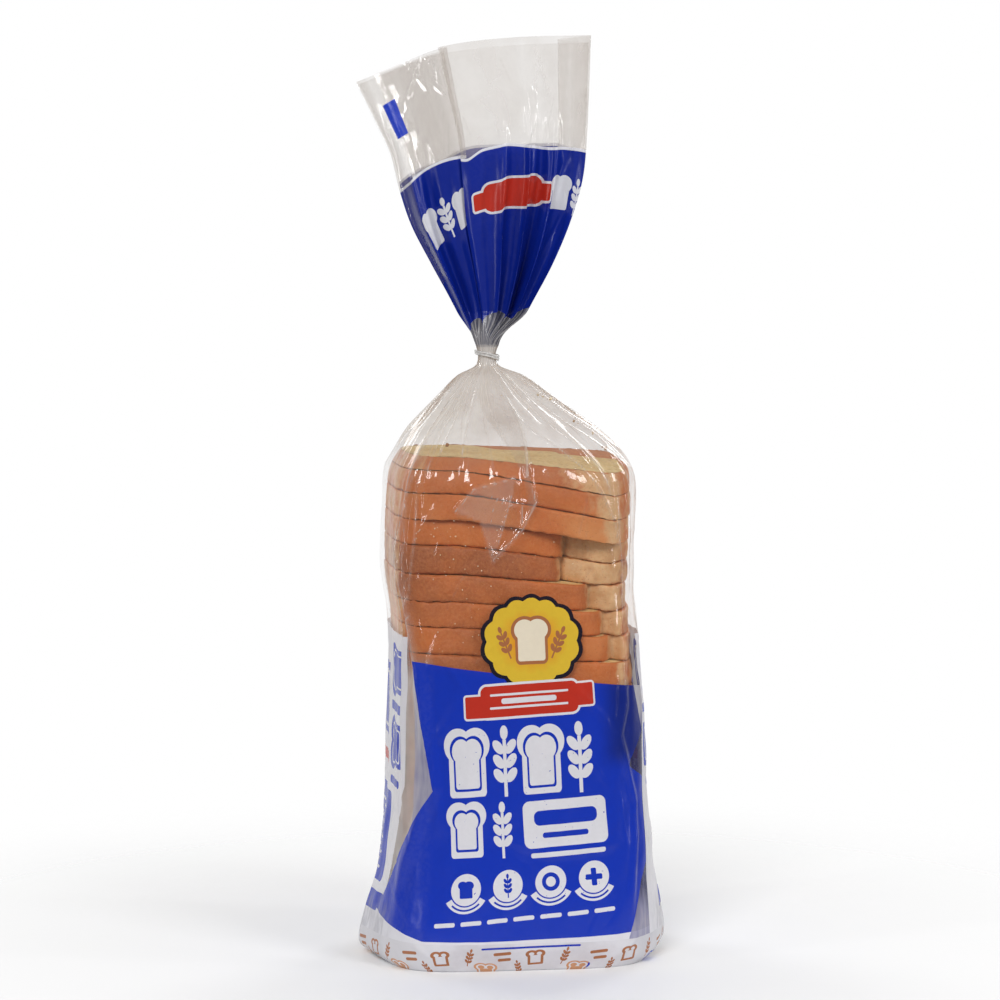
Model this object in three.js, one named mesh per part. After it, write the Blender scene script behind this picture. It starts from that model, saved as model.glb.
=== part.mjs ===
// Sliced loaf standing on end in a clear bread bag, gathered by a tie above the loaf.
// The film and the loaf inside it are one solid, from the flat base up through the shoulders and the
// pleated neck to the fanned mouth. The tie is a ring of its own. Units are millimetres and +Z is up.
// The origin is the middle of the base, and the front of the pack faces -Y.
import * as THREE from "three";

// Loaf and film around it
const SLICE_COUNT = 20;
const SLICE_THICKNESS = 11.5;
const LOAF_HEIGHT = SLICE_COUNT * SLICE_THICKNESS;
const FRONT_DEPTH = 51; // loaf centre to the film over the crown
const BACK_DEPTH = 49; // loaf centre to the film over the flat crust
const BASE_INSET = 4; // how far the base stands in from the film above it
const SLICE_GROOVE = 1; // how far the film dips where two slices meet
const EAR_HEIGHT = 6; // height of the tips of the folded base corners
const EAR_SPREAD = 44; // how far to the front and back the folded corners reach

// Neck and mouth
const NECK_X = -10;
const NECK_HEIGHT = 271;
const NECK_RADIUS = 5.3;
const NECK_LENGTH = 9;
const MOUTH_LEFT_HEIGHT = 395;
const MOUTH_CREST_X = -31; // where the left flap of the mouth meets the rest
const MOUTH_CREST_HEIGHT = 409;
const MOUTH_RIGHT_HEIGHT = 414;
const MOUTH_DEPTH = 5;
const FLAP_SWING = 12; // how far the left flap swings back

// Pleats of the gathered film
const PLEAT_COUNT = 14;
const PLEAT_ORDER = 3; // unevenness: every third pleat is deeper
const SHOULDER_PLEAT = 4;
const NECK_PLEAT = 0.9;
const FAN_PLEAT = 3.2;
const MOUTH_PLEAT = 1.2;

// Tie
const TIE_GAP = 0.6;
const TIE_WALL = 0.9;
const TIE_WIDTH = 2.6;
const TIE_TILT = THREE.MathUtils.degToRad(15);

// Mesh
const COLUMNS = 84;
const OUTLINE_STEPS = 720;

const FILM_COLOUR = 0xd9cfc2;
const TIE_COLOUR = 0xe9e6e0;

const NECK_BOTTOM = NECK_HEIGHT - NECK_LENGTH / 2;
const NECK_TOP = NECK_HEIGHT + NECK_LENGTH / 2;

// A value that follows height: pairs of [height, value], joined by smooth steps of a cubic curve.
function track(...pairs) {
  const slopes = pairs.map((pair, i) => {
    const [a, b] = [pairs[Math.max(i - 1, 0)], pairs[Math.min(i + 1, pairs.length - 1)]];
    return (b[1] - a[1]) / (b[0] - a[0]);
  });
  return (z) => {
    if (z <= pairs[0][0]) return pairs[0][1];
    const i = pairs.findIndex((pair) => pair[0] >= z);
    if (i < 0) return pairs[pairs.length - 1][1];
    const [[z0, v0], [z1, v1]] = [pairs[i - 1], pairs[i]];
    const span = z1 - z0;
    const t = (z - z0) / span;
    const [t2, t3] = [t * t, t * t * t];
    const ends = v0 * (2 * t3 - 3 * t2 + 1) + v1 * (3 * t2 - 2 * t3);
    return ends + span * (slopes[i - 1] * (t3 - 2 * t2 + t) + slopes[i] * (t3 - t2));
  };
}

// Reach of the film to the left and right of the loaf's middle, from the base to the mouth.
const leftReach = track(
  [0, -53], [4, -56], [40, -55], [100, -53.5], [150, -53], [175, -56], [210, -55], [220, -54],
  [228, -50.5], [238, -45], [246, -39], [254, -32], [262, -24],
  [NECK_BOTTOM, NECK_X - NECK_RADIUS], [NECK_TOP, NECK_X - NECK_RADIUS], [282, -19],
  [298, -27.5], [312, -35.5], [328, -44], [344, -49.5], [360, -53.5], [375, -60],
  [MOUTH_LEFT_HEIGHT, -68.5],
);
const rightReach = track(
  [0, 55.5], [4, 59], [40, 61], [80, 59.5], [100, 59.5], [125, 58], [150, 55.5], [175, 53.5],
  [210, 54.5], [220, 54.5], [228, 50], [238, 40], [246, 29], [254, 18], [262, 6.5],
  [NECK_BOTTOM, NECK_X + NECK_RADIUS], [NECK_TOP, NECK_X + NECK_RADIUS], [282, 2.5],
  [298, 12.5], [312, 20.5], [328, 28], [344, 33.5], [360, 35.5], [MOUTH_LEFT_HEIGHT, 37.5],
);
// How far the folded base corners stand out beyond that.
const earReach = track([0, 9], [EAR_HEIGHT, 12.5], [20, 10], [40, 5], [62, 2], [84, 0]);
// Reach to the front and to the back, where the shoulders and the fan are alike on both sides.
const depthReach = (body) => track(
  [0, body - BASE_INSET], [12, body + 1], [60, body], [150, body], [214, body],
  [228, body - 4], [238, 39], [246, 29], [254, 19], [262, 10.5],
  [NECK_BOTTOM, NECK_RADIUS], [NECK_TOP, NECK_RADIUS], [290, 9], [305, 11.5], [325, 11],
  [350, 8], [MOUTH_LEFT_HEIGHT, MOUTH_DEPTH],
);
const frontReach = depthReach(FRONT_DEPTH);
const backReach = depthReach(BACK_DEPTH);
// How square the outline is: 2 is an ellipse. The crown's side is rounder than the flat crust's.
const frontSquareness = track([0, 5], [40, 4], [210, 3.6], [240, 3.2], [262, 2.2], [NECK_BOTTOM, 2]);
const backSquareness = track([0, 6], [210, 6], [240, 3.4], [262, 2.2], [NECK_BOTTOM, 2]);
const pleatDepth = track(
  [0, 0], [205, 0], [222, 0.8], [240, SHOULDER_PLEAT], [258, 2.2], [NECK_BOTTOM, NECK_PLEAT],
  [NECK_TOP, NECK_PLEAT], [296, FAN_PLEAT], [350, FAN_PLEAT], [MOUTH_LEFT_HEIGHT, MOUTH_PLEAT],
);

// Rings at the joints and middles of the slices, between the end slices.
const SLICE_RINGS = Array.from(
  { length: 2 * SLICE_COUNT - 3 },
  (_, i) => SLICE_THICKNESS * (1 + i / 2),
);
const RING_HEIGHTS = [
  0, 3, EAR_HEIGHT, ...SLICE_RINGS, 223, 228, 233, 238, 244, 250, 256, 262,
  NECK_BOTTOM, NECK_HEIGHT, NECK_TOP,
  282, 289, 297, 306, 317, 329, 341, 354, 368, 382, MOUTH_LEFT_HEIGHT,
];

// Dip of the film at the joints of the slices.
function sliceDip(z) {
  if (z < SLICE_THICKNESS || z > LOAF_HEIGHT - SLICE_THICKNESS) return 0;
  return SLICE_GROOVE * Math.cos((Math.PI * z) / SLICE_THICKNESS) ** 2;
}

// Middle of the ring: the neck sits left of the loaf's middle.
function ringMiddle(z) {
  return NECK_X * THREE.MathUtils.smoothstep(z, LOAF_HEIGHT - 20, NECK_BOTTOM);
}

// One point of the outline at a height, before pleats, by angle from +X towards +Y.
function outlinePoint(z, angle) {
  const [c, s] = [Math.cos(angle), Math.sin(angle)];
  const power = 2 / (s < 0 ? frontSquareness(z) : backSquareness(z));
  const across = Math.sign(c) * Math.abs(c) ** power;
  const deep = Math.sign(s) * Math.abs(s) ** power;
  const middle = ringMiddle(z);
  const side = c > 0 ? rightReach(z) - middle : middle - leftReach(z);
  const y = deep * (s < 0 ? frontReach(z) : backReach(z));
  const ear = Math.max(0, 1 - Math.abs(y) / EAR_SPREAD) * earReach(z) * Math.sign(c);
  return new THREE.Vector2(middle + across * side + ear, y);
}

// The outline at a height as COLUMNS points the same distance apart, starting at the right edge.
function evenOutline(z) {
  const fine = Array.from({ length: OUTLINE_STEPS + 1 }, (_, i) =>
    outlinePoint(z, (2 * Math.PI * i) / OUTLINE_STEPS),
  );
  const run = [0];
  for (let i = 1; i < fine.length; i++) run.push(run[i - 1] + fine[i].distanceTo(fine[i - 1]));
  const step = run[OUTLINE_STEPS] / COLUMNS;
  const points = [];
  for (let column = 0, i = 1; column < COLUMNS; column++) {
    while (run[i] < column * step) i++;
    const share = (column * step - run[i - 1]) / (run[i] - run[i - 1]);
    points.push(fine[i - 1].clone().lerp(fine[i], share));
  }
  return points;
}

// Pleats push the film in along its own normal, deeper at every third fold.
function pleated(points, z) {
  const depth = pleatDepth(z);
  return points.map((point, i) => {
    const next = points[(i + 1) % COLUMNS];
    const last = points[(i + COLUMNS - 1) % COLUMNS];
    const normal = new THREE.Vector2(next.y - last.y, last.x - next.x).normalize();
    const turn = (2 * Math.PI * i) / COLUMNS;
    const fold = 0.5 - 0.5 * Math.cos(PLEAT_COUNT * turn);
    const uneven = 0.8 + 0.2 * Math.cos(PLEAT_ORDER * turn);
    return point.clone().addScaledVector(normal, -depth * fold * uneven - sliceDip(z));
  });
}

// Height of the mouth's edge across the fan.
const lipHeight = track(
  [-68, MOUTH_LEFT_HEIGHT], [-50, 402], [MOUTH_CREST_X, MOUTH_CREST_HEIGHT], [1, 413],
  [38, MOUTH_RIGHT_HEIGHT],
);

// Ring of the film at a height. Above the neck the heights spread to reach the slanting mouth, and
// the left flap swings back.
function ring(z) {
  const rise = THREE.MathUtils.clamp((z - NECK_TOP) / (MOUTH_LEFT_HEIGHT - NECK_TOP), 0, 1);
  return pleated(evenOutline(z), z).map((point) => {
    const height = rise > 0 ? z + rise * rise * (lipHeight(point.x) - MOUTH_LEFT_HEIGHT) : z;
    const flap = THREE.MathUtils.smoothstep(MOUTH_CREST_X - point.x, -6, 36);
    return new THREE.Vector3(point.x, point.y + FLAP_SWING * flap * rise, height);
  });
}

// Walls between rings of the same number of points, and ends closed by joining front to back.
function loft(rings) {
  const corners = rings.flat().flatMap((p) => [p.x, p.y, p.z]);
  const count = rings[0].length;
  const faces = [];
  for (let r = 0; r + 1 < rings.length; r++)
    for (let i = 0; i < count; i++) {
      const [a, b] = [r * count + i, r * count + ((i + 1) % count)];
      faces.push(a, b, b + count, a, b + count, a + count);
    }
  const last = (rings.length - 1) * count;
  for (let i = 0; i < count / 2; i++) {
    const [near, far] = [i, i + 1];
    const [nearBack, farBack] = [(count - near) % count, count - far];
    if (near !== nearBack) {
      faces.push(near, nearBack, far);
      faces.push(last + near, last + far, last + nearBack);
    }
    if (far !== farBack) {
      faces.push(far, nearBack, farBack);
      faces.push(last + far, last + farBack, last + nearBack);
    }
  }
  const geometry = new THREE.BufferGeometry();
  geometry.setAttribute("position", new THREE.Float32BufferAttribute(corners, 3));
  geometry.setIndex(faces);
  geometry.computeVertexNormals();
  return geometry;
}

// Clear film pulled over the loaf, gathered at the neck and fanned out at the mouth.
function makeBag() {
  const film = new THREE.MeshStandardMaterial({ color: FILM_COLOUR, roughness: 0.25, metalness: 0 });
  const bag = new THREE.Mesh(loft(RING_HEIGHTS.map(ring)), film);
  bag.name = "bag";
  return bag;
}

// Two turns of clear tie around the neck, as one ring with a waist between the turns.
function makeTie() {
  const inner = NECK_RADIUS + TIE_GAP;
  const outer = inner + TIE_WALL;
  const half = TIE_WIDTH / 2;
  const profile = [
    [inner, -half], [outer, -half * 0.85], [outer + 0.2, -half * 0.5], [outer, -half * 0.1],
    [outer, half * 0.1], [outer + 0.2, half * 0.5], [outer, half * 0.85], [inner, half],
    [inner, -half],
  ].map(([radius, height]) => new THREE.Vector2(radius, height));
  const clear = new THREE.MeshStandardMaterial({ color: TIE_COLOUR, roughness: 0.3, metalness: 0 });
  const tie = new THREE.Mesh(new THREE.LatheGeometry(profile, 32).rotateX(Math.PI / 2), clear);
  tie.name = "neck_tie";
  tie.position.set(NECK_X, 0, NECK_HEIGHT);
  tie.rotation.y = TIE_TILT;
  return tie;
}

const pack = new THREE.Group();
pack.add(makeBag(), makeTie());
export default pack;
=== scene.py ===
"""Sliced loaf standing on end in a clear printed bread bag: film, slices, crumbs and tie.

Shapes are worked out in millimetres and turned into metres when a mesh is made. The film is one sheet of
rings round the loaf. Each of its points keeps its place on the flat film as a UV in decimetres: the way
round from the middle of the front, and the height up the film. The print and the creases use that.
"""

import math

import bpy
import numpy as np
from bpy.props import FloatProperty, FloatVectorProperty, IntProperty, PointerProperty
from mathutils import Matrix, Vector


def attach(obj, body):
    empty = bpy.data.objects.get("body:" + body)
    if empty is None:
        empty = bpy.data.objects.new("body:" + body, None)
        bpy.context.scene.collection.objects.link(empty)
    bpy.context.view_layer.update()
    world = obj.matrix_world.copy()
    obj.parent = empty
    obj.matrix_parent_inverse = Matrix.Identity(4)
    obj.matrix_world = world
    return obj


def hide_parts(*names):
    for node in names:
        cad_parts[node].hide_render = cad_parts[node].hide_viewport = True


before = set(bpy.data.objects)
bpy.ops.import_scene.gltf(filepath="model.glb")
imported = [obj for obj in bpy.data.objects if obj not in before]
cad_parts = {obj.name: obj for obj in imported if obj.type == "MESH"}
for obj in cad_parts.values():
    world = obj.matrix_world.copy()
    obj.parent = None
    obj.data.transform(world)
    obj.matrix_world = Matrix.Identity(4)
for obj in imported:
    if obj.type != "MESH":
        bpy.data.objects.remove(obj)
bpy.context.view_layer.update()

bl_info = {
    "name": "Loaf in bread bag",
    "version": (1, 0, 0),
    "blender": (4, 5, 0),
    "location": "View3D > Sidebar > Loaf",
    "description": "Builds a sliced loaf in a clear printed bag around a packed frame",
    "category": "Object",
}

MM = 0.001


def srgb(red, green, blue):
    """A colour given as it looks on screen, 0 to 255, as Blender's linear values."""
    def linear(value):
        value /= 255
        return value / 12.92 if value <= 0.04045 else ((value + 0.055) / 1.055) ** 2.4
    return (linear(red), linear(green), linear(blue))


# Sizes of the film, in millimetres, as in the part's source

FRONT_DEPTH = 51
BACK_DEPTH = 49
BASE_INSET = 4
EAR_HEIGHT = 6
EAR_SPREAD = 44
NECK_X = -10
NECK_HEIGHT = 271
NECK_RADIUS = 5.3
NECK_LENGTH = 9
NECK_BOTTOM = NECK_HEIGHT - NECK_LENGTH / 2
NECK_TOP = NECK_HEIGHT + NECK_LENGTH / 2
NECK_CENTRE = (NECK_X, 0, NECK_TOP)
SHOULDER_START = 210  # where the film starts to lean in towards the neck
MOUTH_LEFT_HEIGHT = 395
MOUTH_CREST_X = -31
FLAP_SWING = 12
TIE_TILT = math.radians(15)

# Film sheet
FILM_GIRTH = 404
FILM_COLUMNS = 480
FILM_NECK_REACH = 282  # height up the film at the neck
BAND_LAG = 15  # how much lower on the film the fan's left side is than its right
FAN_STEPS = 2400  # fine steps round the folded mouth
ABOVE_NECK = 290  # the fan is clear of the neck from here on


def track(*pairs):
    """A value that follows height: pairs of (height, value), joined by a smooth curve."""
    heights, values = np.array(pairs, float).T
    slopes = np.gradient(values, heights)
    slopes[1:-1] = (values[2:] - values[:-2]) / (heights[2:] - heights[:-2])

    def at(z):
        z = np.clip(z, heights[0], heights[-1])
        i = np.clip(np.searchsorted(heights, z), 1, len(heights) - 1)
        span = heights[i] - heights[i - 1]
        t = (z - heights[i - 1]) / span
        ends = values[i - 1] * (2 * t**3 - 3 * t**2 + 1) + values[i] * (3 * t**2 - 2 * t**3)
        return ends + span * (slopes[i - 1] * (t**3 - 2 * t**2 + t) + slopes[i] * (t**3 - t**2))

    return at


left_reach = track(
    (0, -53), (4, -56), (40, -55), (100, -53.5), (150, -53), (175, -56), (210, -55), (220, -54),
    (228, -50.5), (238, -45), (246, -39), (254, -32), (262, -24),
    (NECK_BOTTOM, NECK_X - NECK_RADIUS), (NECK_TOP, NECK_X - NECK_RADIUS), (282, -19),
    (298, -27.5), (312, -35.5), (328, -44), (344, -49.5), (360, -53.5), (375, -60),
    (MOUTH_LEFT_HEIGHT, -68.5),
)
right_reach = track(
    (0, 55.5), (4, 59), (40, 61), (80, 59.5), (100, 59.5), (125, 58), (150, 55.5), (175, 53.5),
    (210, 54.5), (220, 54.5), (228, 50), (238, 40), (246, 29), (254, 18), (262, 6.5),
    (NECK_BOTTOM, NECK_X + NECK_RADIUS), (NECK_TOP, NECK_X + NECK_RADIUS), (282, 2.5),
    (298, 12.5), (312, 20.5), (328, 28), (344, 33.5), (360, 35.5), (MOUTH_LEFT_HEIGHT, 37.5),
)
ear_reach = track((0, 9), (EAR_HEIGHT, 12.5), (20, 10), (40, 5), (62, 2), (84, 0))


def depth_reach(body):
    """Reach of the film to the front or the back, from the base to the neck."""
    return track(
        (0, body - BASE_INSET), (12, body + 1), (60, body), (150, body), (214, body),
        (228, body - 4), (238, 39), (246, 29), (254, 19), (262, 10.5),
        (NECK_BOTTOM, NECK_RADIUS), (NECK_TOP, NECK_RADIUS),
    )


front_reach = depth_reach(FRONT_DEPTH)
back_reach = depth_reach(BACK_DEPTH)
front_squareness = track((0, 5), (40, 4), (210, 3.6), (240, 3.2), (262, 2.2), (NECK_BOTTOM, 2))
back_squareness = track((0, 6), (210, 6), (240, 3.4), (262, 2.2), (NECK_BOTTOM, 2))
shoulder_pleat = track(
    (0, 0), (200, 0), (216, 0.4), (228, 1.4), (242, 3.2), (256, 2.6), (NECK_BOTTOM, 1), (NECK_TOP, 1)
)
fan_pleat = track(
    (NECK_TOP, 0), (284, 2.6), (300, 4.8), (320, 5.2), (345, 3.6), (370, 1.5),
    (MOUTH_LEFT_HEIGHT, 0.4),
)
lip_height = track((-68, MOUTH_LEFT_HEIGHT), (-50, 402), (MOUTH_CREST_X, 409), (1, 413), (38, 414))

# The edges of the pleat that lies double in front, below the neck
pleat_left = track((196, 1), (204, 1.5), (218, 0), (234, -6.7), (252, -19), (264, -26))
pleat_right = track((196, 4), (204, 6), (218, 4.2), (240, 10.5), (252, 14), (264, 15))

# The fan's folded layers at the mouth: place across the fan, and depth in the stack from front to back.
# It starts at the back and goes round by the left.
FAN_SECTION = (
    (-15, 4.4), (-67, 4.0), (-28, 3.3), (-60, 2.7), (-28, 2.1), (-68.5, 1.2), (-27, -0.6),
    (-33, -1.9), (37.5, -2.8), (21, 0.4), (37.5, 3.4),
)
FAN_LEFT, FAN_RIGHT = -68.5, 37.5
FAN_FRONT_MIDDLE = 2  # place across the fan of the film's front middle

# Creases of the film: height of the ridge, its half width, and the points that it joins on the flat
# film, round from the front's middle and up from the base.
CREASES = (
    (1.3, 2.0, ((-64, 421), (-55, 393))),
    (1.2, 1.8, ((-47, 426), (-57, 407), (-71, 389))),
    (1.1, 2.0, ((-42, 424), (-36, 398), (-38, 360))),
    (-0.9, 2.2, ((8, 410), (16, 380))),
    (1.4, 2.4, ((30, 370), (22, 352), (18, 330))),
    (1.2, 2.0, ((22, 352), (30, 340), (24, 318))),
    (1.6, 3.2, ((24, 281), (30, 250), (36, 232), (46, 195))),
    (1.1, 2.2, ((8, 270), (14, 240), (32, 218), (45, 195), (52, 165))),
    (1.2, 2.0, ((40, 276), (47, 240), (55, 222), (57, 190), (60, 150))),
    (1.6, 3.0, ((50, 150), (48.5, 115), (45, 103), (54.5, 73), (54, 58), (48, 21))),
    (1.0, 1.8, ((66, 232), (64, 190), (66, 140), (62, 100))),
    (1.2, 2.2, ((-24, 281), (-28, 240), (-31, 212))),
    (1.0, 1.8, ((-38, 276), (-40, 240), (-44, 214))),
    (1.1, 2.0, ((-44, 270), (-46, 236), (-48, 205))),
    (1.6, 3.0, ((-52, 276), (-54, 240), (-58, 205), (-63, 184), (-56, 148))),
    (2.4, 5.5, ((-63, 184), (-56, 148), (-44, 82), (-57, 51), (-66, 31))),
    (1.4, 3.0, ((-60, 226), (-64, 180), (-66, 120), (-62, 60))),
    (1.2, 3.0, ((-12, 276), (-9, 250), (-1, 224))),
    (1.4, 3.2, ((14, 262), (10.9, 241), (3.4, 218), (-0.8, 205.4))),
    (1.9, 1.8, ((2.8, 220), (3.4, 212), (5.9, 204.2), (-0.8, 192.6), (-14.3, 179.8), (-21, 196.1))),
    (1.6, 1.7, ((-21, 196.1), (-32, 200.7), (-23.6, 210), (-3.4, 214.7), (-0.8, 205.4))),
    (1.5, 1.6, ((-3.4, 214.7), (-7, 203), (-10.9, 190.3), (-14.3, 179.8))),
    (1.2, 1.6, ((-0.8, 205.4), (-0.8, 192.6))),
    (1.1, 1.6, ((-23.6, 210), (-7, 203), (5.9, 204.2))),
    (-0.9, 2.4, ((-13, 208), (-16, 192))),
    (1.3, 1.7, ((-50, 232), (-57, 205), (-59, 180), (-55, 150), (-53.5, 134))),
    (1.2, 1.7, ((-46, 240), (-52, 214), (-51, 190), (-56, 160), (-58, 120))),
    (1.0, 1.6, ((48, 224), (47, 196), (50, 168), (49, 146))),
    (1.2, 1.8, ((-58, 419), (-50, 405), (-52, 396), (-44, 384))),
    (1.3, 1.8, ((-52, 421), (-44, 410), (-46, 400), (-41, 392))),
    (1.0, 1.7, ((14, 402), (8, 390), (11, 384))),
    (1.0, 2.6, ((-52, 14), (-38, 4), (-20, 1))),
    (1.0, 2.6, ((54, 16), (40, 5), (24, 1))),
    (0.9, 4.0, ((-30, 120), (-44, 100), (-40, 60))),
    (0.7, 3.0, ((20, 128), (38, 110), (50, 84))),
    (0.8, 3.5, ((-10, 60), (12, 52), (46, 56))),
)

# Flat faces of the crumpled star in front: how much painted reflection whitens each, then its corners on
# the flat film
FACET_SHEEN = (
    (0.46, ((-32, 200.7), (-23.6, 210), (-3.4, 214.7), (-7, 203), (-10.9, 190.3), (-14.3, 179.8),
            (-21, 196.1))),
    (0.05, ((-3.4, 214.7), (-0.8, 205.4), (5.9, 204.2), (-0.8, 192.6), (-14.3, 179.8), (-10.9, 190.3),
            (-7, 203))),
)

# Sizes of the slices, in millimetres

SLICE_GAP = 0.42
TOP_SLICES = (6.0, 10.1, 11.5, 11.4, 12.8, 11.9, 11.4, 11.9)  # those in sight, from the top
LOAF_LIFT = 0.8  # the film under the loaf
FILM_SPARE = 1.6  # least room between the bread and the film
CRUST_COLUMNS = 220
CUT_INSET = 0.75  # how far a cut face lies inside the crust's outline
CUT_SHARES = (0.04, 0.25, 0.5, 0.75, 0.93, 0.975)  # rings of a cut face, from its middle
WALL_LEVELS = (  # share of the thickness, and how far the rounded wall lies inside the outline
    (0, CUT_INSET), (0.04, 0.22), (0.12, 0.04), (0.3, 0), (0.5, -0.1), (0.7, 0), (0.88, 0.04),
    (0.96, 0.22), (1, CUT_INSET),
)
CROWN_RIGHT = {1: 42.0, 2: 43.0, 3: 43.0, 4: 19.5, 5: 18.0, 6: 31.0, 7: 36.0, 8: 38.5}
CROWN_FADE = {1: 38, 2: 24, 3: 11}  # how softly the brown of the top slices goes over into the pale side
FORWARD = {1: -1.2, 2: -1.0, 3: -1.6, 4: 1.4, 5: 0.8, 6: 0.2}
# Tone of each slice's crust, mostly at random; slice 5 is made darker as painted shade under the overhang
# of the slices above.
SLICE_TONES_AND_SHADE = {1: 0.04, 2: 0.03, 3: 0.1, 4: 0.02, 5: -0.22, 6: -0.08, 7: 0.0, 8: 0.02, 9: -0.04}

front_drop = track(
    (0, 0), (100, 3), (142, 5), (165, 6.5), (177, 7), (190, 10.5), (201, 12), (223, 12), (231, 5)
)
back_drop = track((0, 0), (150, 0), (200, 0.6), (213, 0.8), (223, 0.6), (231, 0.3))


def smooth(low, high, value):
    """Smooth step from 0 at low to 1 at high."""
    t = np.clip((value - low) / (high - low), 0, 1)
    return t * t * (3 - 2 * t)


def wobble(points, scale, seed, octaves=3):
    """Smooth noise between about -1 and 1 at points (N, 3), by sums of sines in seeded directions."""
    draw = np.random.default_rng(seed)
    total = np.zeros(len(points))
    size = 0.0
    for octave in range(octaves):
        strength = 0.55**octave
        for _ in range(5):
            way = draw.normal(size=3)
            way *= (2.0**octave) * draw.uniform(0.7, 1.3) / (scale * np.linalg.norm(way))
            turn = draw.uniform(0, 2 * math.pi)
            total += strength * np.sin(2 * math.pi * (points @ way) + turn)
            size += strength * strength / 2
    return total / (1.6 * math.sqrt(size))


def even_stops(path, count):
    """count points the same distance apart on a path, its last point left out."""
    run = np.concatenate([[0], np.cumsum(np.linalg.norm(np.diff(path, axis=0), axis=1))])
    stops = np.linspace(0, run[-1], count, endpoint=False)
    return np.stack([np.interp(stops, run, path[:, axis]) for axis in range(2)], -1)


# Film

def lean(z):
    """Middle of the film across: it leans towards the neck at the shoulders."""
    return NECK_X * smooth(SHOULDER_START, NECK_BOTTOM, z)


def film_outline(z, angle):
    """Outline of the film at one height, by angle from +X towards +Y."""
    c, s = np.cos(angle), np.sin(angle)
    power = 2 / np.where(s < 0, front_squareness(z), back_squareness(z))
    across = np.sign(c) * np.abs(c) ** power
    deep = np.sign(s) * np.abs(s) ** power
    middle = lean(z)
    side = np.where(c > 0, right_reach(z) - middle, middle - left_reach(z))
    y = deep * np.where(s < 0, front_reach(z), back_reach(z))
    ear = np.clip(1 - np.abs(y) / EAR_SPREAD, 0, None) * ear_reach(z) * np.sign(c)
    return np.stack([middle + across * side + ear, y], -1)


def film_ring(z):
    """Even ring of the film, from the back's middle by the left to the front and round."""
    halves = []
    for start in (math.pi / 2, 1.5 * math.pi):
        path = film_outline(z, np.linspace(start, start + math.pi, 721))
        halves.append(even_stops(path, FILM_COLUMNS // 2))
    return np.concatenate(halves)


def outward(ring):
    """Unit vectors that point out of a ring that runs anticlockwise seen from above."""
    along = np.roll(ring, -1, 0) - np.roll(ring, 1, 0)
    out = np.stack([along[:, 1], -along[:, 0]], -1)
    return out / np.maximum(np.linalg.norm(out, axis=1, keepdims=True), 1e-9)


def pleat_shape(way_round):
    """Depth of the pleats round the film, 0 on their sharp crests and 1 in their valleys."""
    turn = 2 * math.pi * way_round
    phase = 17 * way_round + 0.55 * np.sin(3 * turn + 0.6) + 0.35 * np.sin(5 * turn + 2.1)
    uneven = 0.7 + 0.3 * np.sin(2 * turn + 1) * np.sin(7 * turn)
    return np.abs(np.sin(math.pi * phase)) ** 0.8 * uneven


def fan_layers():
    """Share across the fan and depth in the stack for every column of the film."""
    corners = np.array(FAN_SECTION + FAN_SECTION[:1], float)
    run = np.concatenate([[0], np.cumsum(np.abs(np.diff(corners[:, 0])) + 0.5)])
    fine = np.linspace(0, run[-1], FAN_STEPS, endpoint=False)
    path = np.stack([np.interp(fine, run, corners[:, axis]) for axis in range(2)], -1)
    reach = 24
    spread = np.exp(-0.5 * (np.arange(-reach, reach + 1) / 7.0) ** 2)
    spread /= spread.sum()
    padded = np.concatenate([path[-reach:], path, path[:reach]])
    path = np.stack([np.convolve(padded[:, axis], spread, "valid") for axis in range(2)], -1)
    front = int(np.argmin(np.abs(path[:, 0] - FAN_FRONT_MIDDLE) + 9 * (path[:, 1] > -1.5)))
    steps = np.round(np.arange(FILM_COLUMNS) * FAN_STEPS / FILM_COLUMNS) - FAN_STEPS // 2
    path = path[(front + steps).astype(int) % FAN_STEPS]
    across = (path[:, 0] - FAN_LEFT) / (FAN_RIGHT - FAN_LEFT)
    return np.clip(across, 0, 1), path[:, 1]


def fan_wave(across):
    """Pleats of the fan across its width: uneven, with fairly sharp crests."""
    turn = 2 * math.pi * (5.4 * across + 0.3 * np.sin(2 * math.pi * 1.3 * across + 0.5))
    crest = np.arcsin(0.985 * np.sin(turn)) * 2 / math.pi
    fine = np.arcsin(0.97 * np.sin(2.6 * turn + 1)) * 2 / math.pi
    return (crest + 0.22 * fine) * (0.72 + 0.28 * np.sin(9 * across + 1)), np.cos(turn)


def fan_ring(z, across, stack):
    """Ring of the fan, for a height that runs from the neck's top to the mouth's left corner."""
    rise = (z - NECK_TOP) / (MOUTH_LEFT_HEIGHT - NECK_TOP)
    left, right = left_reach(z), right_reach(z)
    wave, slant = fan_wave(across)
    depth = fan_pleat(z)
    x = left + (right - left) * across - 0.35 * depth * slant * np.sin(math.pi * across)
    swing = FLAP_SWING * smooth(-6, 36, MOUTH_CREST_X - x) * rise
    y = swing + depth * wave + stack * (1.2 - 0.2 * rise)
    height = z + rise * rise * (lip_height(x) - MOUTH_LEFT_HEIGHT) - 0.5 * rise * (stack + 3)
    return np.stack([x, y, height], -1)


def film_rows():
    """Heights of the film's rings: base to neck, then neck to mouth."""
    body = np.concatenate([
        np.linspace(0, 12, 13), np.linspace(13.2, 222, 176), np.linspace(223, NECK_BOTTOM, 62),
        np.linspace(NECK_BOTTOM + 0.8, NECK_TOP, 11),
    ])
    fan = NECK_TOP + (MOUTH_LEFT_HEIGHT - NECK_TOP) * np.linspace(0, 1, 132)[1:] ** 1.12
    return body, fan


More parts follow.
